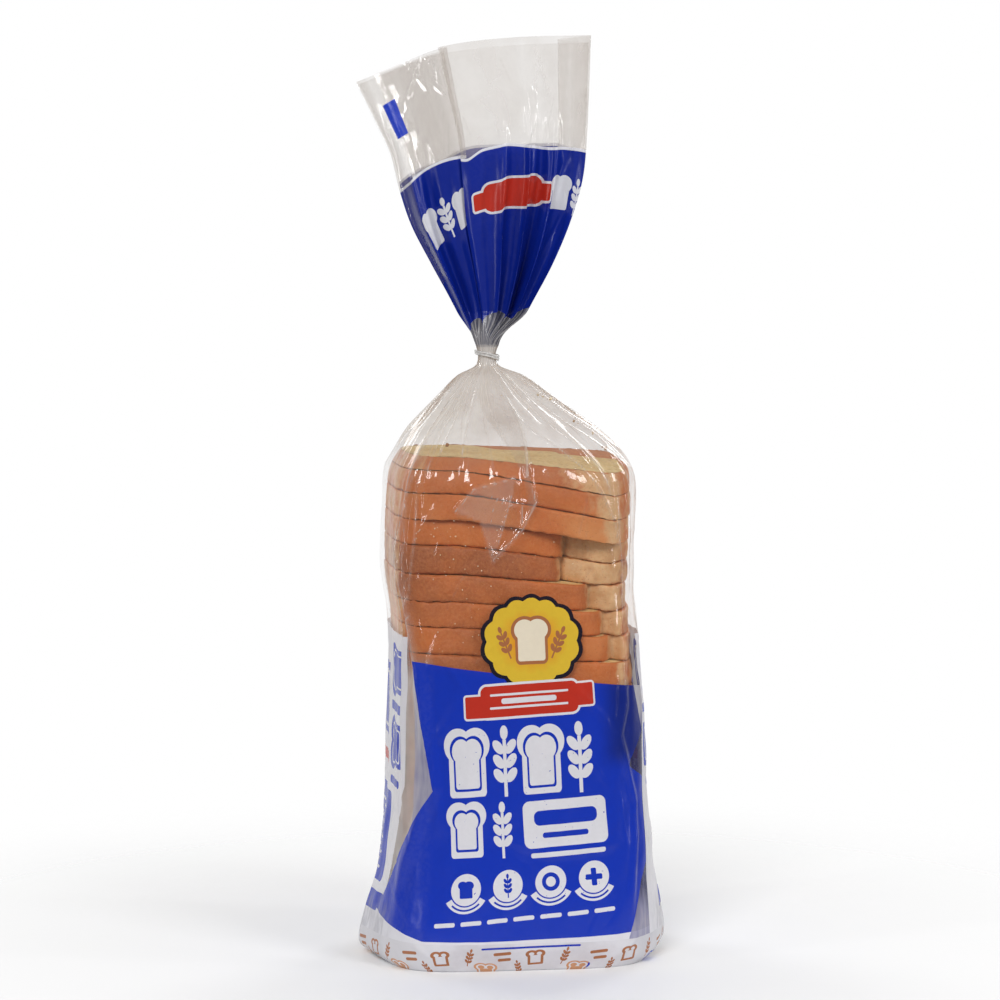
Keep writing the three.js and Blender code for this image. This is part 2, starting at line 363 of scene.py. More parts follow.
def random_creases():
    """Small creases of the handled film, seeded: near upright on the body, fanned at the shoulders."""
    draw = np.random.default_rng(41)
    creases = []
    for _ in range(110):
        around = draw.uniform(-200, 200)
        low = draw.uniform(8, 215)
        tilt = draw.normal(0, 0.45)
        length = draw.uniform(8, 34)
        height = draw.choice([-1, 1]) * draw.uniform(0.12, 0.5)
        end = (around + length * math.sin(tilt), min(low + length * math.cos(tilt), 235))
        creases.append((height, draw.uniform(0.9, 2.6), ((around, low), end)))
    for _ in range(30):
        around = draw.uniform(-200, 200)
        low = draw.uniform(196, 240)
        creases.append((draw.uniform(0.2, 0.6), draw.uniform(1.2, 2.6),
                        ((around, low), (around + draw.normal(0, 4), draw.uniform(255, 275)))))
    for _ in range(40):
        around = draw.uniform(-200, 200)
        low = draw.uniform(300, 395)
        length = draw.uniform(10, 40)
        creases.append((draw.choice([-1, 1]) * draw.uniform(0.15, 0.5), draw.uniform(1, 3),
                        ((around, low), (around + draw.normal(0, 7), low + length))))
    return creases


def crease_heights(around, up):
    """Ridges of the film by place on the flat film, and how white their crests are: partly whitened
    creases, partly painted highlights along them.
    """
    total = np.zeros_like(around)
    white = np.zeros_like(around)
    for height, width, stops in list(CREASES) + random_creases():
        best = np.zeros_like(around)
        lengths = [math.dist(a, b) for a, b in zip(stops, stops[1:])]
        whole = sum(lengths)
        done = 0.0
        for (ax, ay), (bx, by), length in zip(stops, stops[1:], lengths):
            t = ((around - ax) * (bx - ax) + (up - ay) * (by - ay)) / (length * length)
            t = np.clip(t, 0, 1)
            away = np.hypot(around - ax - t * (bx - ax), up - ay - t * (by - ay))
            along = (done + t * length) / whole
            taper = np.clip(np.minimum(along, 1 - along) * 5, 0, 1) * 0.85 + 0.15
            best = np.maximum(best, np.clip(1 - away / width, 0, 1) * taper)
            done += length
        total += height * best
        white = np.maximum(white, best ** (3 if height >= 1.5 else 6) * min(1, abs(height)))
    return total, white


def doubled_pleat(around, up):
    """1 where the film in front lies double, down from the neck."""
    inside = smooth(0, 0.7, around - pleat_left(up)) * smooth(0, 0.7, pleat_right(up) - around)
    return inside * smooth(196, 205, up) * (1 - smooth(240, 262, up))


def within(around, up, corners):
    """1 at the places that lie inside a many-sided area of the flat film."""
    inside = np.zeros(around.shape, bool)
    for (ax, ay), (bx, by) in zip(corners, corners[1:] + corners[:1]):
        spans = (up > min(ay, by)) & (up <= max(ay, by))
        inside ^= spans & (around < ax + (up - ay) * (bx - ax) / (by - ay))
    return inside.astype(float)


def body_rings(heights, pleats):
    """Rings of the film from the base to the neck, and how far up the flat film each lies."""
    points, ups = [], []
    up = 0.0
    last = None
    for z in heights:
        ring = film_ring(z)
        ring = ring - outward(ring) * (shoulder_pleat(z) * pleats)[:, None]
        deepest = abs(ring[:, 1]).max()
        if last is not None:
            up += math.hypot(z - last[1], 0.8 * (last[0] - deepest))
        last = (deepest, z)
        points.append(np.column_stack([ring, np.full(FILM_COLUMNS, z)]))
        ups.append(np.full(FILM_COLUMNS, up))
    return points, [row * FILM_NECK_REACH / up for row in ups]


def fan_rings(heights, neck):
    """Rings of the film from the neck to the mouth, and how far up the flat film their points lie."""
    across, stack = fan_layers()
    points, ups = [], []
    for z in heights:
        join = smooth(NECK_TOP - 1, NECK_TOP + 15, z)
        loose = neck + (neck - NECK_CENTRE) * [1, 1, 0] * 0.08 * (z - NECK_TOP)
        loose[:, 2] = z
        ring = loose * (1 - join) + fan_ring(z, across, stack) * join
        reach = np.linalg.norm(ring - NECK_CENTRE, axis=1)
        points.append(ring)
        ups.append(FILM_NECK_REACH + reach - BAND_LAG * across * smooth(0, 30, reach))
    return points, ups


def film_veil(arounds, ups, z, fold):
    """How folded and how hazy the film is at its points, with painted reflection on the star's facets and
    painted light over the gap at the left side.
    """
    below_fan = z < ABOVE_NECK
    front_layer = smooth(-92, -85, arounds) * (1 - smooth(36, 42, arounds)) * (abs(arounds + 38) > 4)
    haze = 0.14 + 0.65 * smooth(180, 220, z) * below_fan + 2.3 * smooth(214, 238, z) * below_fan
    haze = np.where((z > ABOVE_NECK) & (front_layer < 0.5), 0.04, haze)
    haze += smooth(300, 360, z) * np.where(arounds < -38, 0.7, 2.4) * front_layer
    haze += 2.0 * doubled_pleat(arounds, ups)
    upright = smooth(120, 150, z) * (1 - smooth(222, 234, z))
    haze += 0.3 * upright * smooth(46, 52, arounds) * (1 - smooth(64, 72, arounds))
    haze += 1.6 * smooth(254, 266, z) * (z < 276)
    # The film over the gap at the left side is made hazy and whitish: partly its folds, partly painted
    # light that lifts the shade in the gap.
    side_gap_haze_and_light = (1 - smooth(126, 146, z)) * smooth(-42, -46, arounds) * smooth(-76, -70, arounds)
    fold = np.maximum(fold, 0.9 * side_gap_haze_and_light)
    haze += 3.2 * side_gap_haze_and_light
    # The star's facets are whitened and hazed as painted reflection.
    for share, corners in FACET_SHEEN:
        inside = within(arounds, ups, corners)
        fold = np.maximum(fold, share * inside)
        haze += 0.6 * inside
    return fold, haze


def film_sheet():
    """Points of the film as (row, column, xyz), how far up each lies, and how folded and hazy it is; the
    fold share holds painted highlights as well.
    """
    body, fan = film_rows()
    way_round = np.arange(FILM_COLUMNS) / FILM_COLUMNS
    pleats = pleat_shape(way_round)
    points, ups = body_rings(body, pleats)
    fan_points, fan_ups = fan_rings(fan, points[-1])
    points, ups = np.array(points + fan_points), np.array(ups + fan_ups)
    arounds = np.broadcast_to((way_round - 0.5) * FILM_GIRTH, ups.shape)
    ridge, white = crease_heights(arounds, ups)
    body_rows = len(body)
    heights = points[..., 2]
    calm = smooth(0, 14, ups) * (1 - 0.9 * smooth(250, 268, heights) * (heights < ABOVE_NECK))
    ripple = wobble(np.column_stack([arounds.ravel(), ups.ravel() / 2.4, 0 * ups.ravel()]), 26, 7)
    push = (ridge + 0.45 * ripple.reshape(ups.shape) * calm) * calm
    push[body_rows:] *= 0.6
    for row in range(len(points)):
        if row < body_rows:
            points[row, :, :2] += outward(points[row, :, :2]) * push[row][:, None]
        else:
            points[row, :, 1] += push[row]
    # fold whitens the film on crease crests, in the shoulder pleats and at the neck; on the crests it is
    # partly painted highlight.
    fold = np.clip(white + 0.5 * smooth(236, 262, heights) * pleats, 0, 1)
    fold[body_rows:] = np.maximum(fold[body_rows:], 0.7 * (1 - smooth(282, 305, heights[body_rows:])))
    return (points, ups, *film_veil(arounds, ups, heights, fold))


def build_mesh(name, verts_mm, faces):
    """A mesh object in the scene, from points in millimetres."""
    mesh = bpy.data.meshes.new(name)
    mesh.from_pydata((np.asarray(verts_mm) * MM).tolist(), [], faces)
    mesh.polygons.foreach_set("use_smooth", [True] * len(mesh.polygons))
    mesh.update()
    piece = bpy.data.objects.new(name, mesh)
    bpy.context.scene.collection.objects.link(piece)
    return piece


def add_attribute(piece, name, values):
    """Stores one number for each point of a piece, for its material to read."""
    layer = piece.data.attributes.new(name, "FLOAT", "POINT")
    layer.data.foreach_set("value", np.asarray(values, np.float32).ravel())


def grid_faces(rows, columns):
    """Rows and columns of each face's corners, in a grid of points that closes on itself."""
    row, column = np.meshgrid(np.arange(rows - 1), np.arange(columns), indexing="ij")
    corner_rows = np.stack([row, row, row + 1, row + 1], -1).reshape(-1, 4)
    corner_columns = np.stack([column, column + 1, column + 1, column], -1).reshape(-1, 4)
    return corner_rows, corner_columns


def film_zones(around, up):
    """Number of the film's print by place on the flat film."""
    printed = (up > -41) & (up < 166)
    front = printed & (around > -55.5) & (around < SIDE_START + 0.2)
    zones = (
        ("band", up > FILM_NECK_REACH - 1), ("clear", ~printed), ("border", up < 13),
        ("discs", front & (up < 50)), ("rows", front & (up < 110.2)), ("medal", front),
        ("back", np.abs(around) >= 152),
    )
    names = list(PRINTS)
    return np.select([there for _, there in zones], [names.index(name) for name, _ in zones],
                     names.index("sides"))


def make_film(settings):
    """The film: a base folded under the loaf, then the sheet up to the mouth."""
    points, ups, fold, haze = film_sheet()
    under = []
    for share in (0.02, 0.2, 0.45, 0.7, 0.9, 0.97):
        ring = points[0] * [share, share, 1] + [1.2 * (1 - share), 0, 0]
        ring[:, 2] = 0.15 + 0.25 * (1 - share)
        under.append(ring)
    points = np.concatenate([np.array(under), points])
    base = np.ones((len(under), FILM_COLUMNS))
    ups = np.concatenate([base * np.array([-48.0, -40, -27, -15, -5, -1.5])[:, None], ups])
    corner_rows, corner_columns = grid_faces(len(points), FILM_COLUMNS)
    index = corner_rows * FILM_COLUMNS + corner_columns % FILM_COLUMNS
    faces = index.tolist() + [list(range(FILM_COLUMNS))[::-1]]
    piece = build_mesh("film", points.reshape(-1, 3), faces)
    round_at = (corner_columns / FILM_COLUMNS - 0.5) * FILM_GIRTH
    up_at = ups[corner_rows, corner_columns % FILM_COLUMNS]
    coords = np.stack([round_at, up_at], -1).reshape(-1, 2) / 100
    coords = np.concatenate([coords, np.full((FILM_COLUMNS, 2), (0, -0.5))])
    piece.data.uv_layers.new(name="flat_film").uv.foreach_set("vector", coords.ravel())
    add_attribute(piece, "fold", np.concatenate([0 * base, fold]))
    add_attribute(piece, "haze", np.concatenate([0.5 * base, haze]))
    for name, lay_out in PRINTS.items():
        ink = Ink("film_" + name, settings)
        piece.data.materials.append(ink.finish(film_shader(ink, *lay_out(ink))))
    zone = np.append(film_zones(round_at.mean(1), up_at.mean(1)), list(PRINTS).index("border"))
    piece.data.polygons.foreach_set("material_index", zone)
    return piece


# Slices

def slice_stops(number):
    """Corners that shape a slice's outline, from the flat crust's middle at the back, by the left."""
    reach = CROWN_RIGHT.get(number, 42.0)
    left = [
        (0, 46.2), (-24, 46.6), (-43, 45.8), (-51, 41.5), (-53, 28), (-53.3, 4), (-53, -16),
        (-51, -24), (-51.8, -31), (-47.5, -39), (-36, -44.6), (-20, -47.2),
    ]
    if number <= 3 or number > 8:
        crown = [(7, -47.9), (28, -47.2), (40, -44.6), (46.5, -39.5)]
        shoulder = [(49.6, -32), (50.8, -24), (51.4, -15)]
    else:
        crown = [
            ((reach - 28) / 2, -47.9), (reach - 9, -46.6), (reach - 3, -43.6), (reach + 0.2, -39),
            (reach + 0.6, -36),
        ]
        crease, front = (-33.5, -39.5) if number < 6 else (-34.5, -38)
        shoulder = [
            (reach + 2, crease), (reach + 4, (crease + front) / 2), ((reach + 51) / 2 + 1.5, front),
            (49.4, -28), (51.4, -15),
        ]
    right = [(51.2, 4), (50.4, 28), (48.8, 41), (41, 45.8), (24, 46.6)]
    return np.array(left + crown + shoulder + right, float)


def closed_curve(stops, count):
    """count even points on a smooth closed curve through the stops."""
    fine = []
    total = len(stops)
    for i in range(total):
        a, b, c, d = (stops[(i + k) % total] for k in (-1, 0, 1, 2))
        for t in np.linspace(0, 1, 24, endpoint=False):
            fine.append(0.5 * (2 * b + (c - a) * t + (2 * a - 5 * b + 4 * c - d) * t * t
                               + (3 * b - a - 3 * c + d) * t**3))
    return even_stops(np.array(fine + fine[:1]), count)


def slice_shift(number, z):
    """Sideways and forward shift of a slice in the pile, seeded, following the film round it."""
    draw = np.random.default_rng(300 + number)
    sideways = 0.75 * (left_reach(z) + right_reach(z)) / 2
    return sideways + draw.uniform(-0.5, 0.5), FORWARD.get(number, 0.0) + draw.uniform(-0.35, 0.35)


def slice_place(number, settings):
    """Lowest height and thickness of a slice, counted from the top."""
    count = settings.slice_count
    tall = settings.loaf_height / MM
    seen = len(TOP_SLICES)
    if number <= seen:
        return LOAF_LIFT + tall - sum(TOP_SLICES[:number]), TOP_SLICES[number - 1]
    even = (tall - sum(TOP_SLICES)) / (count - seen)
    return LOAF_LIFT + (count - number) * even, even


def make_slice(number, settings):
    """One slice: a baked crust wall with cut edges, and two faces of open crumb."""
    low, thick = slice_place(number, settings)
    outline = closed_curve(slice_stops(number), CRUST_COLUMNS)
    shift = np.array(slice_shift(number, low + thick / 2))
    inward = -outward(outline)
    rings = [(0, share, CUT_INSET) for share in CUT_SHARES]
    rings += [(level, 1, inset) for level, inset in WALL_LEVELS]
    rings += [(1, share, CUT_INSET) for share in reversed(CUT_SHARES)]
    points, edge = [], []
    centre = np.array([0.5, -1.0])
    for level, share, inset in rings:
        ring = centre + (outline + inward * inset - centre) * share + shift
        z = np.full(len(ring), low + SLICE_GAP / 2 + level * (thick - SLICE_GAP))
        if share == 1:
            place = np.column_stack([ring, z])
            uneven = wobble(place, 14, 900 + number) * 0.32 + wobble(place, 3.5, 500 + number) * 0.1
            ring = ring - inward * uneven[:, None]
        ragged = wobble(np.column_stack([ring, z * 0 + number * 31]), 2.6, 70, 4)
        z = z + np.sign(level - 0.5) * ragged * 0.3 * (share == 1) * (abs(level - 0.5) > 0.3)
        points.append(np.column_stack([ring, z]))
        heel = 0.5 * smooth(-2, 12, ring[:, 1]) * smooth(-14, -2, ring[:, 0]) * (number == 1)
        edge.append(share + heel)
    points = np.concatenate(points)
    points[:, 2] -= settle(points)
    columns = len(outline)
    corner_rows, corner_columns = grid_faces(len(rings), columns)
    faces = (corner_rows * columns + corner_columns % columns).tolist()
    top = (len(rings) - 1) * columns
    faces += [list(range(columns))[::-1], list(range(top, top + columns))]
    piece = build_mesh(f"slice_{number:02d}", keep_inside(points), faces)
    tone = SLICE_TONES_AND_SHADE.get(number, np.random.default_rng(60 + number).uniform(-0.08, 0.08))
    add_attribute(piece, "bake", np.tile(crust_bake(outline, number), len(rings)))
    add_attribute(piece, "edge", np.concatenate(edge))
    add_attribute(piece, "tone", np.full(len(points), tone))
    piece.data.materials.append(once("crust", crust_finish, settings))
    piece.data.materials.append(once("crumb", crumb_finish, settings))
    wall = len(CUT_SHARES)
    crumb = corner_rows[:, 0] >= wall + len(WALL_LEVELS) - 1
    cut_below = number != settings.slice_count
    if cut_below:
        crumb |= corner_rows[:, 0] < wall
    zone = np.concatenate([crumb.astype(int), [int(cut_below), 1]])
    piece.data.polygons.foreach_set("material_index", zone)
    return piece


def settle(points):
    """How far each point of the loaf has sunk: the pile leans to its front right and to the back."""
    side = np.clip((points[:, 0] + 28) / 70, 0, 1) ** 1.15
    front = 0.35 + 0.65 * smooth(30, -48, points[:, 1])
    back = smooth(-30, 46, points[:, 1])
    return front_drop(points[:, 2]) * side * front + back_drop(points[:, 2]) * back


def keep_inside(points):
    """Presses points that the film would cut through back inside it."""
    x, y, z = points.T
    middle = lean(z)
    spare = FILM_SPARE + shoulder_pleat(z)
    side = np.where(x > middle, right_reach(z) - middle, middle - left_reach(z)) - spare
    depth = np.where(y < 0, front_reach(z), back_reach(z)) - spare
    power = np.where(y < 0, front_squareness(z), back_squareness(z))
    share = ((np.abs(x - middle) / side) ** power + (np.abs(y) / depth) ** power) ** (1 / power)
    share = np.maximum(share, 1)
    return np.stack([middle + (x - middle) / share, y / share, z], -1)


def crust_bake(outline, number):
    """How brown the crust is round a slice: the crown and the flat crust are, and the sides are pale."""
    x, y = outline[:, 0], outline[:, 1]
    reach = CROWN_RIGHT.get(number, 42.0)
    start = np.where(x < -20, -22 if number < 10 else -36, -30)
    crown = smooth(start, start - 7.5, y) * smooth(reach + 3, reach - CROWN_FADE.get(number, 3), x)
    if number == 1:
        crown = crown * smooth(-52, -43, x)
    base = 0.85 * smooth(36, 44, y)
    left = 0.52 * smooth(-46, -51, x)
    right = 0.5 * smooth(43, 48, x) + 0.16 * smooth(-30, -38, y)
    return np.clip(np.maximum(crown + base, left + right), 0, 1)


# Crumbs

CRUMB_SPOTS = (
    # Place on the front as seen: across and up, in millimetres, then size. These lie in the film.
    (-5.5, 253.7, 0.9), (11.4, 253.7, 1.7), (13.6, 252.9, 1.0), (17.4, 251.8, 2.0), (26.1, 242.5, 1.7),
    (27.8, 241.5, 1.1), (34.2, 237.3, 1.4), (39.2, 230.7, 2.2), (37.7, 231.5, 1.1), (27.1, 231.2, 1.3),
    (-11.3, 258.7, 0.5), (-32, 233.2, 1.7), (6, 247.9, 0.6),
)
FLECK_COUNT = 150
LUMP_FACES = (
    (0, 11, 5), (0, 5, 1), (0, 1, 7), (0, 7, 10), (0, 10, 11), (1, 5, 9), (5, 11, 4), (11, 10, 2),
    (10, 7, 6), (7, 1, 8), (3, 9, 4), (3, 4, 2), (3, 2, 6), (3, 6, 8), (3, 8, 9), (4, 9, 5),
    (2, 4, 11), (6, 2, 10), (8, 6, 7), (9, 8, 1),
)


def lump(centre, size, draw):
    """The twelve corners of one small uneven crumb."""
    golden = (1 + math.sqrt(5)) / 2
    corners = np.array([
        (-1, golden, 0), (1, golden, 0), (-1, -golden, 0), (1, -golden, 0), (0, -1, golden),
        (0, 1, golden), (0, -1, -golden), (0, 1, -golden), (golden, 0, -1), (golden, 0, 1),
        (-golden, 0, -1), (-golden, 0, 1),
    ]) / 1.9
    stretch = draw.uniform(0.6, 1.3, 3)
    rough = draw.uniform(0.7, 1.2, (12, 1))
    return np.asarray(centre) + corners * rough * stretch * size / 2


def front_of_film(x, z):
    """Depth of the film's front at a place across and up."""
    middle = lean(z)
    side = right_reach(z) - middle if x > middle else middle - left_reach(z)
    share = min(abs(x - middle) / side, 0.98)
    square = front_squareness(z)
    return -front_reach(z) * (1 - share**square) ** (1 / square)


def make_crumbs():
    """Crumbs caught in the shoulders of the film, and flecks on the crust, as one piece."""
    draw = np.random.default_rng(12)
    spots = [(x, front_of_film(x, z) * 0.93 + 1.5, z, size) for x, z, size in CRUMB_SPOTS]
    for _ in range(FLECK_COUNT):
        x = draw.normal(-30, 12) if draw.uniform() < 0.6 else draw.uniform(-46, 40)
        z = draw.normal(204, 11) if draw.uniform() < 0.65 else draw.uniform(140, 224)
        x = float(np.clip(x, -46, 42))
        spots.append((x, front_of_film(x, z) + 3.2, z, draw.uniform(0.25, 0.75)))
    verts, faces, tones = [], [], []
    for x, y, z, size in spots:
        start = len(verts) * 12
        verts.append(lump((x, y, z), size, draw))
        faces += [[start + corner for corner in side] for side in LUMP_FACES]
        tones += [draw.uniform() * (1.0 if size > 0.8 else 0.35)] * 12
    piece = build_mesh("crumbs", np.concatenate(verts), faces)
    add_attribute(piece, "bake", tones)
    piece.data.materials.append(fleck_finish())
    return piece


# Tie

TIE_TURNS = 2.3
TIE_STEPS = 220
TIE_WIDTH = 1.0
TIE_SECTION = (  # how far out, and the share of the half width up
    (0, -1), (0.2, -0.8), (0.3, 0), (0.2, 0.8), (0, 1), (-0.08, 0.5), (-0.08, -0.5),
)


def make_tie():
    """A narrow clear band wound a little over twice round the neck, with its end laid flat."""
    points = []
    for step in range(TIE_STEPS + 1):
        share = step / TIE_STEPS
        angle = 2 * math.pi * TIE_TURNS * share - 0.6
        radius = NECK_RADIUS - 0.1 + 0.08 * math.sin(5 * angle) + 0.25 * share
        lift = (share - 0.5) * 2.3 + 0.15 * math.sin(3 * angle)
        half = TIE_WIDTH / 2 * min(1, 12 * share + 0.2, 12 * (1 - share) + 0.2)
        for out, up in TIE_SECTION:
            x = (radius + out) * math.cos(angle)
            y = (radius + out) * math.sin(angle)
            z = lift + half * up - x * math.tan(TIE_TILT)
            points.append((NECK_X + x, y, NECK_HEIGHT + z))
    section = len(TIE_SECTION)
    faces = []
    for step in range(TIE_STEPS):
        for k in range(section):
            a, b = step * section + k, step * section + (k + 1) % section
            faces.append((a, b, b + section, a + section))
    faces.append(list(range(section)))
    faces.append([TIE_STEPS * section + k for k in range(section)][::-1])
    piece = build_mesh("tie_band", points, faces)
    piece.data.materials.append(tie_finish())
    return piece


# Materials

_made = {}


def once(name, make, *given):
    """Something that several pieces share, made the first time."""
    if name not in _made:
        _made[name] = make(*given)
    return _made[name]


def sign(operation, swapped=False):
    """A way to write one math node as a sign."""
    def method(self, other=0.0):
        pair = (other, self) if swapped else (self, other)
        return self.nodes.math(operation, *pair)
    return method


class Flow:
    """A value on its way between nodes. & takes the smaller of two and | the larger, as masks need."""

    def __init__(self, nodes, socket):
        self.nodes = nodes
        self.socket = socket

    __add__ = __radd__ = sign("ADD")
    __sub__ = sign("SUBTRACT")
    __rsub__ = sign("SUBTRACT", swapped=True)
    __mul__ = __rmul__ = sign("MULTIPLY")
    __truediv__ = sign("DIVIDE")
    __lt__ = sign("LESS_THAN")
    __gt__ = sign("GREATER_THAN")
    __and__ = sign("MINIMUM")
    __or__ = sign("MAXIMUM")
    __abs__ = sign("ABSOLUTE")


class Nodes:
    """Short ways to add nodes to one node tree."""

    def __init__(self, tree):
        self.tree = tree

    def join(self, value, socket):
        if isinstance(value, Flow):
            self.tree.links.new(value.socket, socket)
        else:
            socket.default_value = value

    def node(self, kind, inputs=None, **options):
        node = self.tree.nodes.new(kind)
        for name, value in options.items():
            setattr(node, name, value)
        for name, value in (inputs or {}).items():
            self.join(value, node.inputs[name])
        return node

    def add(self, kind, inputs=None, out=0, **options):
        """One result of a new shader node."""
        return Flow(self, self.node("ShaderNode" + kind, inputs, **options).outputs[out])

    def math(self, operation, a, b=0.0, c=0.0):
        return self.add("Math", {0: a, 1: b, 2: c}, operation=operation)

    def wrap(self, value, half, middle=0.0):
        """The value repeated within a half width of a middle."""
        return self.math("WRAP", value, middle + half, middle - half)

    def vector(self, operation, a, b=(0, 0, 0)):
        return self.add("VectorMath", {0: a, 1: b}, "Vector", operation=operation)

    def length(self, a):
        return self.add("VectorMath", {0: a}, "Value", operation="LENGTH")

    def parts(self, a):
        node = self.node("ShaderNodeSeparateXYZ", {"Vector": a})
        return Flow(self, node.outputs["X"]), Flow(self, node.outputs["Y"])

    def joined(self, x, y):
        return self.add("CombineXYZ", {"X": x, "Y": y})

    def noise(self, place, scale, detail=4.0, rough=0.55):
        inputs = {"Vector": place, "Scale": scale, "Detail": detail, "Roughness": rough}
        return self.add("TexNoise", inputs, "Fac")

    def cells(self, place, scale):
        return self.add("TexVoronoi", {"Vector": place, "Scale": scale}, "Distance")

    def ramp(self, value, *stops):
        node = self.node("ShaderNodeValToRGB", {"Fac": value})
        marks = node.color_ramp.elements
        while len(marks) < len(stops):
            marks.new(0.5)
        for mark, (place, colour) in zip(marks, stops):
            mark.position = place
            mark.color = (*colour, 1)
        return Flow(self, node.outputs["Color"])

    def range(self, value, low, high, to_low, to_high):
        inputs = {"Value": value, "From Min": low, "From Max": high, "To Min": to_low, "To Max": to_high}
        return self.add("MapRange", inputs, "Result", interpolation_type="SMOOTHSTEP")

    def mix(self, share, a, b):
        node = self.node("ShaderNodeMix", {0: share}, data_type="RGBA")
        for socket, tone in ((node.inputs[6], a), (node.inputs[7], b)):
            self.join(tone if isinstance(tone, Flow) else (*tone, 1), socket)
        return Flow(self, node.outputs[2])

    def bump(self, height, strength, distance, normal=None):
        inputs = {"Height": height, "Strength": strength, "Distance": distance}
        if normal is not None:
            inputs["Normal"] = normal
        return self.add("Bump", inputs)

    def attribute(self, name):
        return self.add("Attribute", out="Fac", attribute_name=name)

    def place(self):
        return self.add("TexCoord", out="Object")

    def blend(self, share, first, second):
        return self.add("MixShader", {0: share, 1: first, 2: second})

    def clear(self, *colour):
        """A shader that lets light through, tinted by a colour."""
        return self.add("BsdfTransparent", {"Color": (*colour, 1)})

    def surface(self, colour, roughness, **more):
        """A plain shader; names of more settings have _ for a space."""
        inputs = {"Base Color": colour, "Roughness": roughness}
        inputs.update({name.replace("_", " "): value for name, value in more.items()})
        return self.add("BsdfPrincipled", inputs)


class Finish(Nodes):
    """The nodes of one new material."""

    def __init__(self, name):
        self.material = bpy.data.materials.new(name)
        self.material.use_nodes = True
        super().__init__(self.material.node_tree)
        self.tree.nodes.clear()

    def finish(self, shader):
        self.node("ShaderNodeOutputMaterial", {"Surface": shader})
        return self.material


# Shapes of the print. Each gives the distance from its edge, less than 0 inside.

def box_gap(group, place, half, corner):
    """Distance from a rounded box of a half size."""
    away = group.vector("SUBTRACT", group.vector("ABSOLUTE", place), half)
    away = group.vector("ADD", away, group.joined(corner, corner))
    x, y = group.parts(away)
    return group.length(group.vector("MAXIMUM", away)) + ((x | y) & 0.0) - corner


def oval_gap(group, place, half):
    """Distance from an oval of a half size, near enough."""
    x, y = group.parts(half)
    return (group.length(group.vector("DIVIDE", place, half)) - 1.0) * (x & y)


def box_shape(group, place, size, corner):
    return box_gap(group, place, group.vector("MULTIPLY", size, (0.5, 0.5, 0)), corner)


def oval_shape(group, place, size, corner):
    half = group.vector("ADD", group.vector("MULTIPLY", size, (0.5, 0.5, 0)), (0, 0, 1))
    return oval_gap(group, place, half)


def slice_shape(group, place, size, corner):
    """A slice of tin bread seen flat: an upright body under two round shoulders."""
    own = group.vector("DIVIDE", place, group.vector("ADD", size, (0, 0, 1)))
    body = box_gap(group, group.vector("ADD", own, (0, 0.1, 0)), (0.4, 0.4, 0), 0.07)
    x, y = group.parts(own)
    shoulders = oval_gap(group, group.joined(abs(x) - 0.19, y - 0.25), (0.31, 0.25, 1))
    return (body & shoulders) * group.parts(size)[0]


def wheat_shape(group, place, size, corner):
    """An ear of wheat: a stem, three pairs of grains and one at the tip."""
    high = group.parts(size)[1]
    x, y = group.parts(group.vector("DIVIDE", place, group.joined(high, high)))
    x = abs(x)
    stem = box_gap(group, group.joined(x, y + 0.1), (0.026, 0.4, 0), 0.0)
    pair = group.wrap(group.wrap(y, 0.3), 0.1)
    turned = group.add("Mapping", {"Vector": group.joined(x - 0.098, pair),
                                   "Rotation": (0, 0, math.radians(-36))}, vector_type="TEXTURE")
    grains = oval_gap(group, turned, (0.066, 0.116, 1)) | (abs(y) - 0.3)
    tip = oval_gap(group, group.joined(x, y - 0.4), (0.06, 0.1, 1))
    return (stem & grains & tip) * high


SHAPES = {"box": box_shape, "oval": oval_shape, "slice": slice_shape, "wheat": wheat_shape}


def shape_group(kind):
    """A shared group that takes a place, a size and a corner radius, and gives the gap to one shape."""
    tree = bpy.data.node_groups.new("ink_" + kind, "ShaderNodeTree")
    for name, socket in (("Place", "Vector"), ("Size", "Vector"), ("Corner", "Float")):
        tree.interface.new_socket(name=name, in_out="INPUT", socket_type="NodeSocket" + socket)
    tree.interface.new_socket(name="Gap", in_out="OUTPUT", socket_type="NodeSocketFloat")
    group = Nodes(tree)
    given = group.node("NodeGroupInput").outputs
    place, size, corner = (Flow(group, given[name]) for name in ("Place", "Size", "Corner"))
    flat = group.vector("MULTIPLY", place, (1, 1, 0))
    group.node("NodeGroupOutput", {"Gap": SHAPES[kind](group, flat, size, corner)})
    return tree


